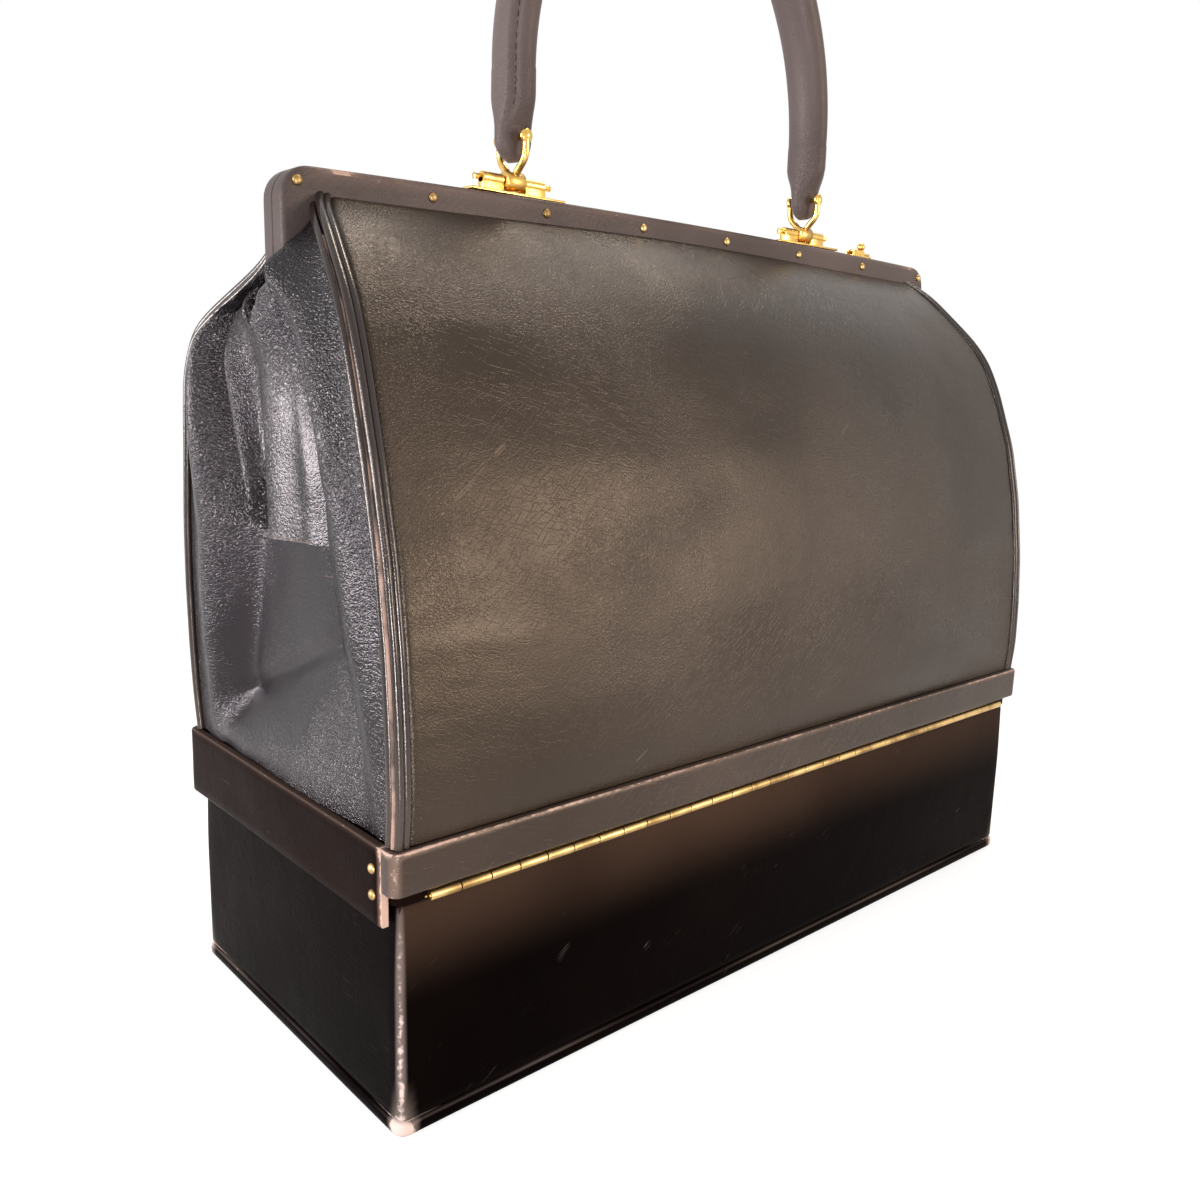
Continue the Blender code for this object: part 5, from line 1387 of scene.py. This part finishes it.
        fixed = Shape()
        share = np.linspace(0, 1, LOW_ROWS)[:, None] * start
        self.sheet_of(fixed, end, self.end_surface(np.broadcast_to(front, share.shape), share))
        lip = np.linspace(self.foot + 0.004, self.foot + self.lip_share, LIP_ROWS)
        heights = np.concatenate([np.linspace(0, self.foot, LOW_ROWS), lip])
        across, share = np.meshgrid(np.concatenate([middle, rear[1:]]), heights, indexing="xy")
        tuck = (self.leather + 0.0006) * eased((share - self.foot) / 0.004)
        self.sheet_of(fixed, end, self.end_surface(across, share, covered=False), tuck)
        across, share = np.meshgrid(rear, np.linspace(self.foot, 1, REAR_ROWS), indexing="xy")
        self.sheet_of(fixed, end, self.end_surface(across, share))
        piece = fixed.build(name + "_end", 50)
        paint_wear(piece, self.edge_wear)
        self.hang(piece, Side.BACK, self.finishes.grained, name + "_gusset")

        fold = Shape()
        share = start + (1 - start) * np.linspace(0, 1, FOLD_ROWS)[:, None]
        self.sheet_of(fold, end, self.end_surface(np.broadcast_to(front, share.shape), share))
        self.hang(fold.build(name + "_end_front_fold", 50), Side.FRONT, self.finishes.grained, name + "_gusset")

        web = Shape()
        across, share = np.meshgrid(middle, np.linspace(self.foot, 1, TONGUE_ROWS), indexing="xy")
        self.sheet_of(web, end, self.end_surface(across, share))
        piece = web.build(name + "_end_tongue", 50)
        paint_wear(piece, self.edge_wear)
        piece.data.materials.append(self.finishes.grained)
        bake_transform(piece)
        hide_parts(name + "_gusset")
        LOG.info("%s is sewn in", piece.name)

    def corner_line(self, end: End, side: Side, along: float, out: float, last: float, sunk: float = 0.0) -> Points:
        """A line that follows a corner seam, offset along X and outwards, and sunk in its upper part."""
        share = np.linspace(0.0, last, 90)
        front = np.full_like(share, 1.0 if side is Side.FRONT else 0.0)
        depth = out - sunk * eased((share - 0.30) / 0.30)
        points = self.seam(share, front) + self.slope(share, front) * depth[:, None]
        points[:, 0] += along
        points[:, 0] *= end.value
        points[:, 1] *= side.value
        return points

    def build_welt(self, end: End, side: Side) -> None:
        """The rolled edges of the panel and the end, with the raw strip between them."""
        name = f"{side.name.lower()}_{end.name.lower()}_welt"
        leather = Shape()
        for along, out, radius in WELT_ROLLS:
            leather.add_tube(self.corner_line(end, side, along, out, 1.0), radius, 12)
        piece = leather.build(name, 60)
        paint_wear(piece, lambda co: 0.04 + 0.08 * ripple(co, 34.0, 7.0) + 0.16 * eased((0.15 - co[:, 2]) / 0.06))
        self.hang(piece, side, self.finishes.welt, name)
        strip = Shape()
        strip.add_tube(self.corner_line(end, side, 0.0011, -0.0002, 0.93, 0.0010), 0.00075, 10)
        self.hang(strip.build(name + "_raw_edge", 60), side, self.finishes.raw, "")

    def build(self) -> None:
        """Build the panels, ends and welts."""
        for side in Side:
            self.build_panel(side)
        for end in End:
            self.pinched = float(end is End.LEFT)
            self.build_end(end)
            for side in Side:
                self.build_welt(end, side)


# Top frame


@dataclass
class TopFrame:
    """The two jaws: brass bows wrapped in leather and riveted."""

    finishes: Finishes
    half_length: float = 0.1630
    top: float = 0.2723
    crown: float = 0.0024
    rail: float = 0.0088
    leg_width: float = 0.0130
    corner: float = 0.0090
    inner_corner: float = 0.0020
    core_face: float = 0.00455
    outer_face: float = 0.00645
    wrap: float = 0.0003
    wrap_foot: float = 0.2220
    pivot_z: float = 0.1745
    eye_radius: float = 0.0060
    rivets: int = 8
    rivet_reach: float = 0.1585

    def crown_at(self, x: Points) -> Points:
        """How far the arched rail rises above its ends."""
        return self.crown * (1 - (x / self.half_length) ** 2)

    def bow_line(self, half: float, top: float, radius: float, foot: float, steps: int) -> Points:
        """One edge of the inverted U in X and Z, from the right foot to the left one.

        Args:
            half: how far its legs lie from the middle.
            top: the height where its corners end.
            radius: its corners' radius.
            foot: its legs' lower end.
            steps: how many points a leg has.

        Returns:
            The edge's points.
        """
        arc = np.linspace(0, math.pi / 2, 10)
        legs = np.linspace(foot, top - radius, steps)[:-1]
        leg = np.column_stack([np.full(len(legs), half), legs])
        bend = np.column_stack([half - radius + radius * np.cos(arc), top - radius + radius * np.sin(arc)])
        x = np.linspace(half - radius, 0, 60)[1:]
        rail = np.column_stack([x, top + self.crown_at(x) - self.crown_at(half - radius)])
        right = np.concatenate([leg, bend, rail])
        return np.concatenate([right, right[-2::-1] * np.array([-1.0, 1.0])])

    def outline(self, inset: float, foot: float) -> Points:
        """The inverted U in X and Z, outer edge then inner edge."""
        outer = self.bow_line(self.half_length - inset, self.top - inset, self.corner - inset, foot, 14)
        inner = self.bow_line(self.half_length - self.leg_width + inset, self.top - self.rail + inset,
                              self.inner_corner, foot, 12)
        return np.concatenate([outer, inner[::-1]])

    def layers(self, profile: Outline, foot: float, side: Side) -> Points:
        """The outline at each depth of a profile of depths and insets."""
        rings = []
        for depth, inset in profile:
            flat = self.outline(inset, foot)
            rings.append(np.column_stack([flat[:, 0], np.full(len(flat), side.value * depth), flat[:, 1]]))
        return np.array(rings)

    def wrap_wear(self, co: Points) -> Points:
        """Bare patches on top near the end, and rubbed outer edges."""
        top = np.clip((co[:, 2] - self.top + 0.0022) / 0.0012, 0, 1)
        patch = bell(np.abs(co[:, 0]), 0.146, 0.0085) + 0.5 * bell(np.abs(co[:, 0]), 0.125, 0.006)
        bare = top * np.clip(patch, 0, 1) * (0.62 + 0.45 * ripple(co, 160.0, 3.0))
        outer = np.clip((np.abs(co[:, 1]) - self.outer_face + 0.0010) / 0.0008, 0, 1)
        ends = np.clip((np.abs(co[:, 0]) - self.half_length + 0.0012) / 0.0010, 0, 1)
        rubbed = outer * np.maximum(ends, top) * (0.26 + 0.20 * ripple(co, 40.0, 5.0))
        return np.maximum(bare, rubbed)

    def build_jaw(self, side: Side, body: Body) -> None:
        """One jaw: core, eyes, leather wrap and rivets."""
        name = side.name.lower()
        core = Shape()
        core.add_loft(self.layers([(0.0004, 0.0010), (self.core_face - 0.0003, 0.0010)], self.pivot_z + 0.004, side))
        middle = self.half_length - self.leg_width / 2
        spans = (self.half_length - self.leg_width, middle - 0.0002) if side is Side.BACK else \
            (middle + 0.0002, self.half_length)
        for end in End:
            place = Matrix.Translation((0, 0, self.pivot_z)) @ ALONG_X
            low, high = sorted((end.value * spans[0], end.value * spans[1]))
            edge = 0.0004
            core.add_turned(
                [(self.eye_radius - edge, low), (self.eye_radius, low + edge), (self.eye_radius, high - edge),
                 (self.eye_radius - edge, high)], place, 28,
            )
        make_piece(core, name + "_jaw_bow", 40, body, self.finishes.aged, "brass", name + "_jaw")

        wrap = -self.wrap
        face = self.outer_face
        profile = [(0.00012, wrap + 0.0003), (0.0004, wrap), (0.0013, wrap), (face - 0.0016, wrap),
                   (face - 0.0009, wrap + 0.0001), (face - 0.0004, wrap + 0.0004), (face - 0.0001, wrap + 0.0009),
                   (face, wrap + 0.0016)]
        leather = Shape()
        leather.add_loft(self.layers(profile, self.wrap_foot, side))
        make_piece(leather, name + "_jaw_leather", 35, body, self.finishes.trim, "facing_leather",
                   name + "_jaw_facing", wear=self.wrap_wear)

        count = self.rivets
        x = self.rivet_reach * (1 - 2 * np.arange(count) / (count - 1))
        z = self.top - self.rail / 2 + self.crown_at(x)
        places = np.column_stack([x, np.full(count, side.value * (face + 0.0001)), z])
        set_rivets(name + "_jaw_rivets", places, (math.pi / 2, 0.0, 0.0), body, self.finishes.aged, name + "_jaw")

    def build(self) -> None:
        """Build both jaws and dress their pins."""
        self.build_jaw(Side.BACK, Body.BAG)
        self.build_jaw(Side.FRONT, Body.JAW)
        for end in End:
            dress(end.name.lower() + "_pivot_pin", self.finishes.steel)


# Handle


# shares of a shackle's height, and how far out its arm lies there
FORK_BOW = (
    (0.0, 0.10), (0.09, 0.15), (0.25, 0.40), (0.37, 0.68), (0.475, 0.89), (0.60, 0.98), (0.73, 1.0), (1.0, 1.0),
)


def rod_profile(half: float, radius: float, chamfer: float) -> Outline:
    """The profile of a thin rod with a flat head at each end, about its middle."""
    side = [(radius - 0.0003, half), (radius + 0.0002, half - chamfer), (radius, half - chamfer - 0.0004)]
    return [(r, -z) for r, z in side] + side[::-1]


@dataclass
class Handle:
    """The rolled leather grip on two hinged brass mounts."""

    finishes: Finishes
    half_width: float = 0.0776
    foot: float = 0.2856
    shoulder: float = 0.2966
    straight_top: float = 0.3150
    top: float = 0.4080
    thickness: float = 0.0063
    middle_thickness: float = 0.0073
    depth: float = 0.0087
    tab_width: float = 0.0068
    tab_depth: float = 0.0047
    seam_turn: float = 0.52
    groove_turn: float = 0.30
    sides: int = 44
    stitch_pitch: float = 0.0033
    stitch_half: float = 0.00105
    mount_half: tuple[float, float] = (0.0195, 0.0046)
    mount_foot: float = 0.2744375
    mount_thickness: float = 0.0009
    axis: float = 0.2793375
    lug: tuple[float, float] = (0.0045, 0.0130)
    lug_radius: float = 0.0019
    axle_half: float = 0.0159
    axle_radius: float = 0.0009
    fork_reach: float = 0.0072
    fork_radius: float = 0.00125
    pin_height: float = 0.2930
    pin_half: float = 0.0087
    pin_radius: float = 0.0010

    def stations(self) -> tuple[Points, Points, Points, Points]:
        """The grip's middle line, its outward direction, and half its size both ways."""
        rise = np.concatenate([
            self.foot + 0.0068 * (1 - np.cos(np.linspace(0.10, math.pi / 2, 10))),
            np.linspace(self.foot + 0.0080, self.straight_top, 26)[:-1],
        ])
        arm = np.column_stack([np.full(len(rise), self.half_width), np.zeros(len(rise)), rise])
        below = np.clip((self.foot + self.tab_width - rise) / self.tab_width, 0, 1)
        wide = np.where(below > 0, self.tab_width * np.sqrt(1 - below ** 2), self.tab_width)
        climb = eased((rise - self.foot - 0.0090) / 0.0120)
        wide = wide + (self.thickness * 1.02 - self.tab_width) * climb
        deep = self.tab_depth * np.where(below > 0, np.sqrt(1 - 0.75 * below ** 2), 1.0)
        deep = deep + (self.depth * 1.02 - self.tab_depth) * climb
        arm_out = np.tile((1.0, 0.0, 0.0), (len(rise), 1))
        angles = np.linspace(0, math.pi, 91)
        height = self.top - self.straight_top
        arch = np.column_stack([
            self.half_width * np.cos(angles), np.zeros(91), self.straight_top + height * np.sin(angles)
        ])
        arch_out = np.column_stack([height * np.cos(angles), np.zeros(91), self.half_width * np.sin(angles)])
        arch_out /= np.linalg.norm(arch_out, axis=1, keepdims=True)
        swell = 1 + (self.middle_thickness / self.thickness - 1) * np.sin(angles)
        arch_wide = self.thickness * swell
        arch_deep = self.depth * swell
        mirror = np.array([-1.0, 1.0, 1.0])
        path = np.concatenate([arm, arch, arm[::-1] * mirror])
        out = np.concatenate([arm_out, arch_out, arm_out[::-1] * mirror])
        return path, out, np.concatenate([wide, arch_wide, wide[::-1]]), np.concatenate([deep, arch_deep, deep[::-1]])

    def section_point(self, path: Points, out: Points, wide: Points, deep: Points, angle: float,
                      lift: Points) -> Points:
        """The points of the grip's surface at one angle from outward towards the back."""
        back = np.array([0.0, 1.0, 0.0])
        outward = ((wide + lift) * math.cos(angle))[:, None]
        backward = ((deep + lift) * math.sin(angle))[:, None]
        return path + out * outward + back * backward

    def build_grip(self) -> None:
        """The leather roll with its raised seam, then the stitches beside it."""
        path, out, wide, deep = self.stations()
        rise = eased((path[:, 2] - self.shoulder + 0.002) / 0.010)
        pressed = -0.0012 * bell(path[:, 2], 0.2925, 0.0050)
        loops = []
        for angle in np.linspace(0, 2 * math.pi, self.sides, endpoint=False):
            gap = (angle - self.seam_turn + math.pi) % (2 * math.pi) - math.pi
            seam = 0.0009 * bell(gap, 0.0, 0.15) - 0.0008 * bell(gap, self.groove_turn, 0.10)
            seat = pressed * abs(math.sin(angle)) ** 6
            loops.append(self.section_point(path, out, wide, deep, angle, seam * rise + seat))
        rings = np.stack(loops, axis=1)
        rings = rings + 0.00018 * ripple(rings, 75.0, 4.0)[..., None] * np.array([1.0, 1.0, 0.0])
        shape = Shape()
        shape.add_loft(rings)
        make_piece(shape, "handle_leather", 60, Body.HANDLE, self.finishes.trim, "black_leather",
                   "handle_grip", "handle_core", wear=self.grip_wear)

        keep = path[:, 2] > self.shoulder + 0.006
        sunk = np.full(len(path), -0.00060)
        line = self.section_point(path, out, wide, deep, self.seam_turn + self.groove_turn, sunk)[keep]
        half = self.stitch_half
        bead = Shape()
        bead.add_turned([(0.00006, -half), (0.00024, -half * 0.75), (0.00030, 0.0), (0.00024, half * 0.75),
                         (0.00006, half)], ALONG_X, 8)
        unit = bead.build("handle_stitch_unit", 60)
        pattern = Pattern.along_path(self.stitch_pitch, unit, self.finishes.thread)
        stitches = pattern.bake("handle_stitches", line, True, unit)
        place_piece(stitches, Body.HANDLE, self.finishes.thread, "black_leather")

    def grip_wear(self, co: Points) -> Points:
        """Lightly rubbed feet."""
        return np.clip(1 - np.abs(co[:, 2] - self.foot) / 0.0022, 0, 1) * 0.30

    def build_mount(self, name: str, middle: float) -> None:
        """A mount's plate with its rolled lugs, and the axle in them.

        Args:
            name: which end it is, in lower case.
            middle: where it stands along X.
        """
        gilt = self.finishes.gilt
        half_x, half_y = self.mount_half
        foot, radius = self.mount_foot, self.lug_radius
        place = Matrix.Translation((0, 0, self.axis)) @ ALONG_X
        plate = Shape()
        plate.add_block((middle - half_x, -half_y, foot), (middle + half_x, half_y, foot + self.mount_thickness),
                        0.0003, 3)
        for way in (-1, 1):
            low, high = sorted(middle + way * reach for reach in self.lug)
            plate.add_turned([(radius - 0.0003, low), (radius, low + 0.0003), (radius, high - 0.0003),
                              (radius - 0.0003, high)], place, 24)
            plate.add_block((low, -0.0015, foot + 0.0004), (high, 0.0015, self.axis), 0.0002, 2)
        make_piece(plate, name + "_mount_brass", 40, Body.BAG, gilt, "brass", name + "_handle_mount")
        axle = Shape()
        axle.add_turned(rod_profile(self.axle_half, self.axle_radius, 0.0002),
                        Matrix.Translation((middle, 0, self.axis)) @ ALONG_X, 16)
        make_piece(axle, name + "_axle_brass", 40, Body.BAG, gilt, "brass", name + "_handle_axle")

    def build_shackle(self, name: str, middle: float) -> None:
        """The forked shackle that swings on the axle, and the pin through the grip's end.

        Args:
            name: which end it is, in lower case.
            middle: where it stands along X.
        """
        gilt = self.finishes.gilt
        steps = 24
        up = np.linspace(0, 1, steps)
        bow = np.interp(up, *np.array(FORK_BOW).T)
        bow = np.convolve(np.pad(bow, 2, mode="edge"), np.ones(5) / 5, "valid")
        fork = Shape()
        fork.add_turned([(0.0027, -0.0040), (0.0033, -0.0034), (0.0030, 0.0), (0.0033, 0.0034), (0.0027, 0.0040)],
                        Matrix.Translation((middle, 0, self.axis)) @ ALONG_X, 28)
        for side in Side:
            reach = side.value * self.fork_reach
            height = self.axis + (self.pin_height - self.axis) * up
            fork.add_tube(np.column_stack([np.full(steps, middle), reach * bow, height]), self.fork_radius, 14)
            fork.add_turned([(0.0017, -0.0010), (0.0023, -0.0005), (0.0023, 0.0005), (0.0017, 0.0010)],
                            Matrix.Translation((middle, reach, self.pin_height)) @ ALONG_Y, 24)
        make_piece(fork, name + "_shackle_brass", 50, Body.HANDLE, gilt, "brass", name + "_shackle")
        pin = Shape()
        pin.add_turned(rod_profile(self.pin_half, self.pin_radius, 0.0003),
                       Matrix.Translation((middle, 0, self.pin_height)) @ ALONG_Y, 16)
        make_piece(pin, name + "_pin_brass", 50, Body.HANDLE, gilt, "brass", name + "_handle_pin")

    def build(self) -> None:
        """Build the grip and both mounts."""
        self.build_grip()
        for end in End:
            name, middle = end.name.lower(), end.value * self.half_width
            self.build_mount(name, middle)
            self.build_shackle(name, middle)


# Closures


@dataclass
class FrameCatch:
    """The ball-headed peg that slides a hook behind a stud."""

    finishes: Finishes
    x: float = -0.1181
    y: float = 0.0018
    half_length: float = 0.0050
    bar: float = 0.0014
    thickness: float = 0.0009
    stem_radius: float = 0.0007
    stem_rise: float = 0.0008
    ball_radius: float = 0.0017
    ball_rise: float = 0.0028

    def build(self) -> None:
        """Build the slide with its peg and dress the guide and stud."""
        _, hook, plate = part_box("catch_slider")[0]
        left, right, top = self.x - self.half_length, self.x + self.half_length, plate + self.thickness
        shape = Shape()
        for near, far in (
            ((left, self.y - self.bar), (right, self.y + self.bar)),
            ((left, hook), (left + self.bar, self.y)),
            ((left, hook), (self.x, hook + self.bar)),
        ):
            shape.add_block((*near, plate), (*far, top), 0.0002, 2)
        profile = [(self.stem_radius, plate + self.thickness * 0.5), (self.stem_radius, top + self.stem_rise)]
        for angle in math.pi * (np.linspace(0, 0.86, 11) - 0.36):
            profile.append((max(self.ball_radius * math.cos(angle), 0.00005),
                            top + self.ball_rise + self.ball_radius * math.sin(angle)))
        shape.add_turned(profile, Matrix.Translation((self.x, self.y, 0)), 24)
        make_piece(shape, "catch_slide_brass", 45, Body.CATCH, self.finishes.gilt, "brass", "catch_slider")
        dress("catch_guide", self.finishes.gilt)
        dress("catch_stud", self.finishes.gilt)


@dataclass
class CaseLock:
    """The lock on the front of the case: notched body, thumb bolt and hanging tongue."""

    finishes: Finishes
    half_width: float = 0.0170
    bottom: float = 0.0380
    top: float = 0.0620
    back: float = -0.0683
    seat: float = -0.0709
    face: float = -0.0749
    notch: float = 0.0052
    notch_foot: float = 0.0497
    corner: float = 0.0024
    bevel: float = 0.0006
    tongue_half: float = 0.0048
    tongue_face: float = -0.0726
    tongue_back: float = -0.0712
    tongue_foot: float = 0.0500
    tongue_top: float = 0.0835
    bite_depth: float = 0.0016
    bite: tuple[float, float] = (0.0525, 0.0575)
    bolt: tuple[float, float, float, float] = (0.0056, 0.0530, 0.0152, 0.0570)
    button: tuple[float, float, float, float] = (0.0080, 0.0518, 0.0128, 0.0582)
    button_face: float = -0.0766

    def plate(self, shape: Shape, corners: Outline, radius: float, back: float, face: float) -> None:
        """Add a flat plate with round corners and a bevelled face.

        Args:
            shape: what it is added to.
            corners: its corners in X and Z, anticlockwise.
            radius: of the corners.
            back: where its back lies in Y.
            face: where its face lies in Y.
        """
        rings = []
        for depth, inset in ((back, 0.0), (face + self.bevel, 0.0), (face + self.bevel * 0.3, self.bevel * 0.3),
                             (face, self.bevel)):
            flat = rounded_outline(corners, radius, inset)
            rings.append(np.column_stack([flat[:, 0], np.full(len(flat), depth), flat[:, 1]]))
        shape.add_loft(np.array(rings))

    def build(self) -> None:
        """Build the lock's pieces."""
        half, notch = self.half_width, self.notch
        case = Shape()
        self.plate(case, ((-half, self.bottom), (half, self.bottom), (half, self.top), (notch, self.top),
                          (notch, self.notch_foot), (-notch, self.notch_foot), (-notch, self.top), (-half, self.top)),
                   self.corner, self.seat, self.face)
        self.plate(case, ((-half, self.bottom), (half, self.bottom), (half, self.top), (-half, self.top)),
                   self.corner, self.back, self.seat)
        make_piece(case, "lock_case_brass", 35, Body.CASE, self.finishes.gilt, "brass", "lock_body")

        bolt = Shape()
        for (left, low, right, high), radius, back, face in (
            (self.bolt, 0.0006, self.tongue_back, self.tongue_face),
            (self.button, 0.0016, self.face + 0.0004, self.button_face),
        ):
            self.plate(bolt, ((left, low), (right, low), (right, high), (left, high)), radius, back, face)
        make_piece(bolt, "lock_bolt_brass", 35, Body.BOLT, self.finishes.gilt, "brass", "lock_bolt")

        hanging = Shape()
        width, depth = self.tongue_half, self.bite_depth
        self.plate(hanging, ((-width, self.tongue_foot), (width, self.tongue_foot), (width, self.bite[0]),
                             (depth, self.bite[0]), (depth, self.bite[1]), (width, self.bite[1]),
                             (width, self.tongue_top), (-width, self.tongue_top)), 0.0010, self.tongue_back,
                   self.tongue_face)
        make_piece(hanging, "lock_tongue_brass", 35, Body.BAG, self.finishes.gilt, "brass", "lock_tongue")


# Studio


@dataclass
class Studio:
    """A plain white room: floor, soft lamps and the camera."""

    eye: tuple[float, float, float] = (0.3066, 0.3057, 0.2117)
    azimuth: float = 138.2
    elevation: float = 11.03
    roll: float = 1.52
    lens: float = 32.27
    floor_fade: tuple[float, float] = (0.30, 0.90)
    floor_glow: float = 0.72
    floor_tone: float = 0.46
    floor_half: float = 8.0
    floor_level: float = -0.0003
    sky_light: float = 0.35

    def build_camera(self) -> None:
        """Stand the camera where the photograph was taken from."""
        turn = math.radians(self.azimuth)
        rise = math.radians(self.elevation)
        lean = math.radians(self.roll)
        back = Vector((math.sin(turn) * math.cos(rise), -math.cos(turn) * math.cos(rise), math.sin(rise)))
        right = (-back).cross(Vector((0, 0, 1))).normalized()
        up = right.cross(-back)
        x_axis = right * math.cos(lean) + up * math.sin(lean)
        y_axis = up * math.cos(lean) - right * math.sin(lean)
        data = bpy.data.cameras.new("camera")
        data.lens = self.lens
        data.sensor_width = 36.0
        data.clip_start = 0.01
        camera = add_object("camera", data)
        camera.matrix_world = Matrix((
            (x_axis.x, y_axis.x, back.x, self.eye[0]),
            (x_axis.y, y_axis.y, back.y, self.eye[1]),
            (x_axis.z, y_axis.z, back.z, self.eye[2]),
            (0, 0, 0, 1),
        ))
        bpy.context.scene.camera = camera

    def seen_share(self, tree: bpy.types.NodeTree) -> Socket:
        """How much a ray counts as seen: camera, gloss and transmission rays."""
        rays = tree.nodes.new("ShaderNodeLightPath").outputs
        seen = add_node(tree, "Math", {0: rays["Is Camera Ray"], 1: rays["Is Glossy Ray"]}, operation="MAXIMUM")
        return add_node(tree, "Math", {0: seen, 1: rays["Is Transmission Ray"]}, operation="MAXIMUM")

    def build_world(self) -> None:
        """White where it is seen, a soft grey light elsewhere."""
        world = bpy.data.worlds.new("world")
        bpy.context.scene.world = world
        world.use_nodes = True
        tree = world.node_tree
        background = tree.nodes["Background"]
        background.inputs["Color"].default_value = (1.0, 1.0, 1.0, 1.0)
        seen = self.seen_share(tree)
        strength = add_node(tree, "MapRange", {"Value": seen, "To Min": self.sky_light, "To Max": 1.0})
        tree.links.new(strength, background.inputs["Strength"])

    def build_floor(self) -> None:
        """A pale floor that keeps the bag's shadow."""
        shape = Shape()
        half, level = self.floor_half, self.floor_level
        corners = np.array([[(-half, y, level), (half, y, level)] for y in (-half, half)])
        shape.add_quads(shape.add_points(corners))
        floor = shape.build("floor")
        r = Recipe("floor")
        r.shader.inputs["Roughness"].default_value = 0.9
        r.shader.inputs["Specular IOR Level"].default_value = 0.0
        r.shader.inputs["Emission Color"].default_value = (1.0, 1.0, 1.0, 1.0)
        distance = r.add("VectorMath", {0: r.place}, "Value", operation="LENGTH")
        near, far = self.floor_fade
        fade = r.add("MapRange", {"Value": distance, "From Min": near, "From Max": far, "To Min": self.floor_glow,
                                  "To Max": 1.0})
        tint = r.add("MapRange", {"Value": fade, "From Min": self.floor_glow, "From Max": 1.0,
                                  "To Min": self.floor_tone, "To Max": 0.0})
        glow = r.sum("MULTIPLY", self.seen_share(r.tree), fade)
        r.links.new(tint, r.shader.inputs["Base Color"])
        r.links.new(glow, r.shader.inputs["Emission Strength"])
        floor.data.materials.append(r.material)

    def build_lamp(self, name: str, place: tuple[float, float, float], size: tuple[float, float],
                   radiance: float, colour: Colour) -> None:
        """A soft lamp aimed at the bag, given its width, its height and how bright its face is."""
        data = bpy.data.lights.new(name, "AREA")
        data.shape = "RECTANGLE"
        data.size, data.size_y = size
        data.energy = radiance * math.pi * size[0] * size[1]
        data.color = colour
        lamp = add_object(name, data)
        lamp.visible_camera = False
        aim = Vector((0, 0, 0.15)) - Vector(place)
        lamp.matrix_world = Matrix.Translation(place) @ aim.to_track_quat("-Z", "Y").to_matrix().to_4x4()

    def build(self) -> None:
        """Set up camera, world, floor and lamps."""
        bpy.context.scene.view_settings.view_transform = "Standard"
        self.build_camera()
        self.build_world()
        self.build_floor()
        warm = (1.0, 0.84, 0.69)
        cool = (1.0, 0.96, 0.97)
        self.build_lamp("ceiling_lamp", (-0.58, -0.12, 1.35), (0.42, 0.42), 18.0, warm)
        self.build_lamp("wall_lamp", (-0.74, 1.38, 0.37), (0.62, 0.68), 14.0, warm)
        self.build_lamp("end_lamp", (1.46, -0.60, 0.30), (0.62, 0.58), 27.0, cool)
        self.build_lamp("ridge_lamp", (1.58, 0.17, 0.60), (0.22, 0.42), 27.0, cool)
        self.build_lamp("near_lamp", (0.38, 0.40, 0.10), (0.045, 0.19), 74.0, cool)


def main() -> None:
    """Build the bag's pieces and the studio in order."""
    logging.basicConfig(level=logging.INFO)
    finishes = Finishes.make()
    Studio().build()
    for part in (LowerCase(finishes), PianoHinge(finishes), Collar(finishes), SoftBag(finishes), TopFrame(finishes),
                 Handle(finishes), FrameCatch(finishes), CaseLock(finishes)):
        part.build()
        LOG.info("%s is built", type(part).__name__)


if __name__ == "__main__":
    main()
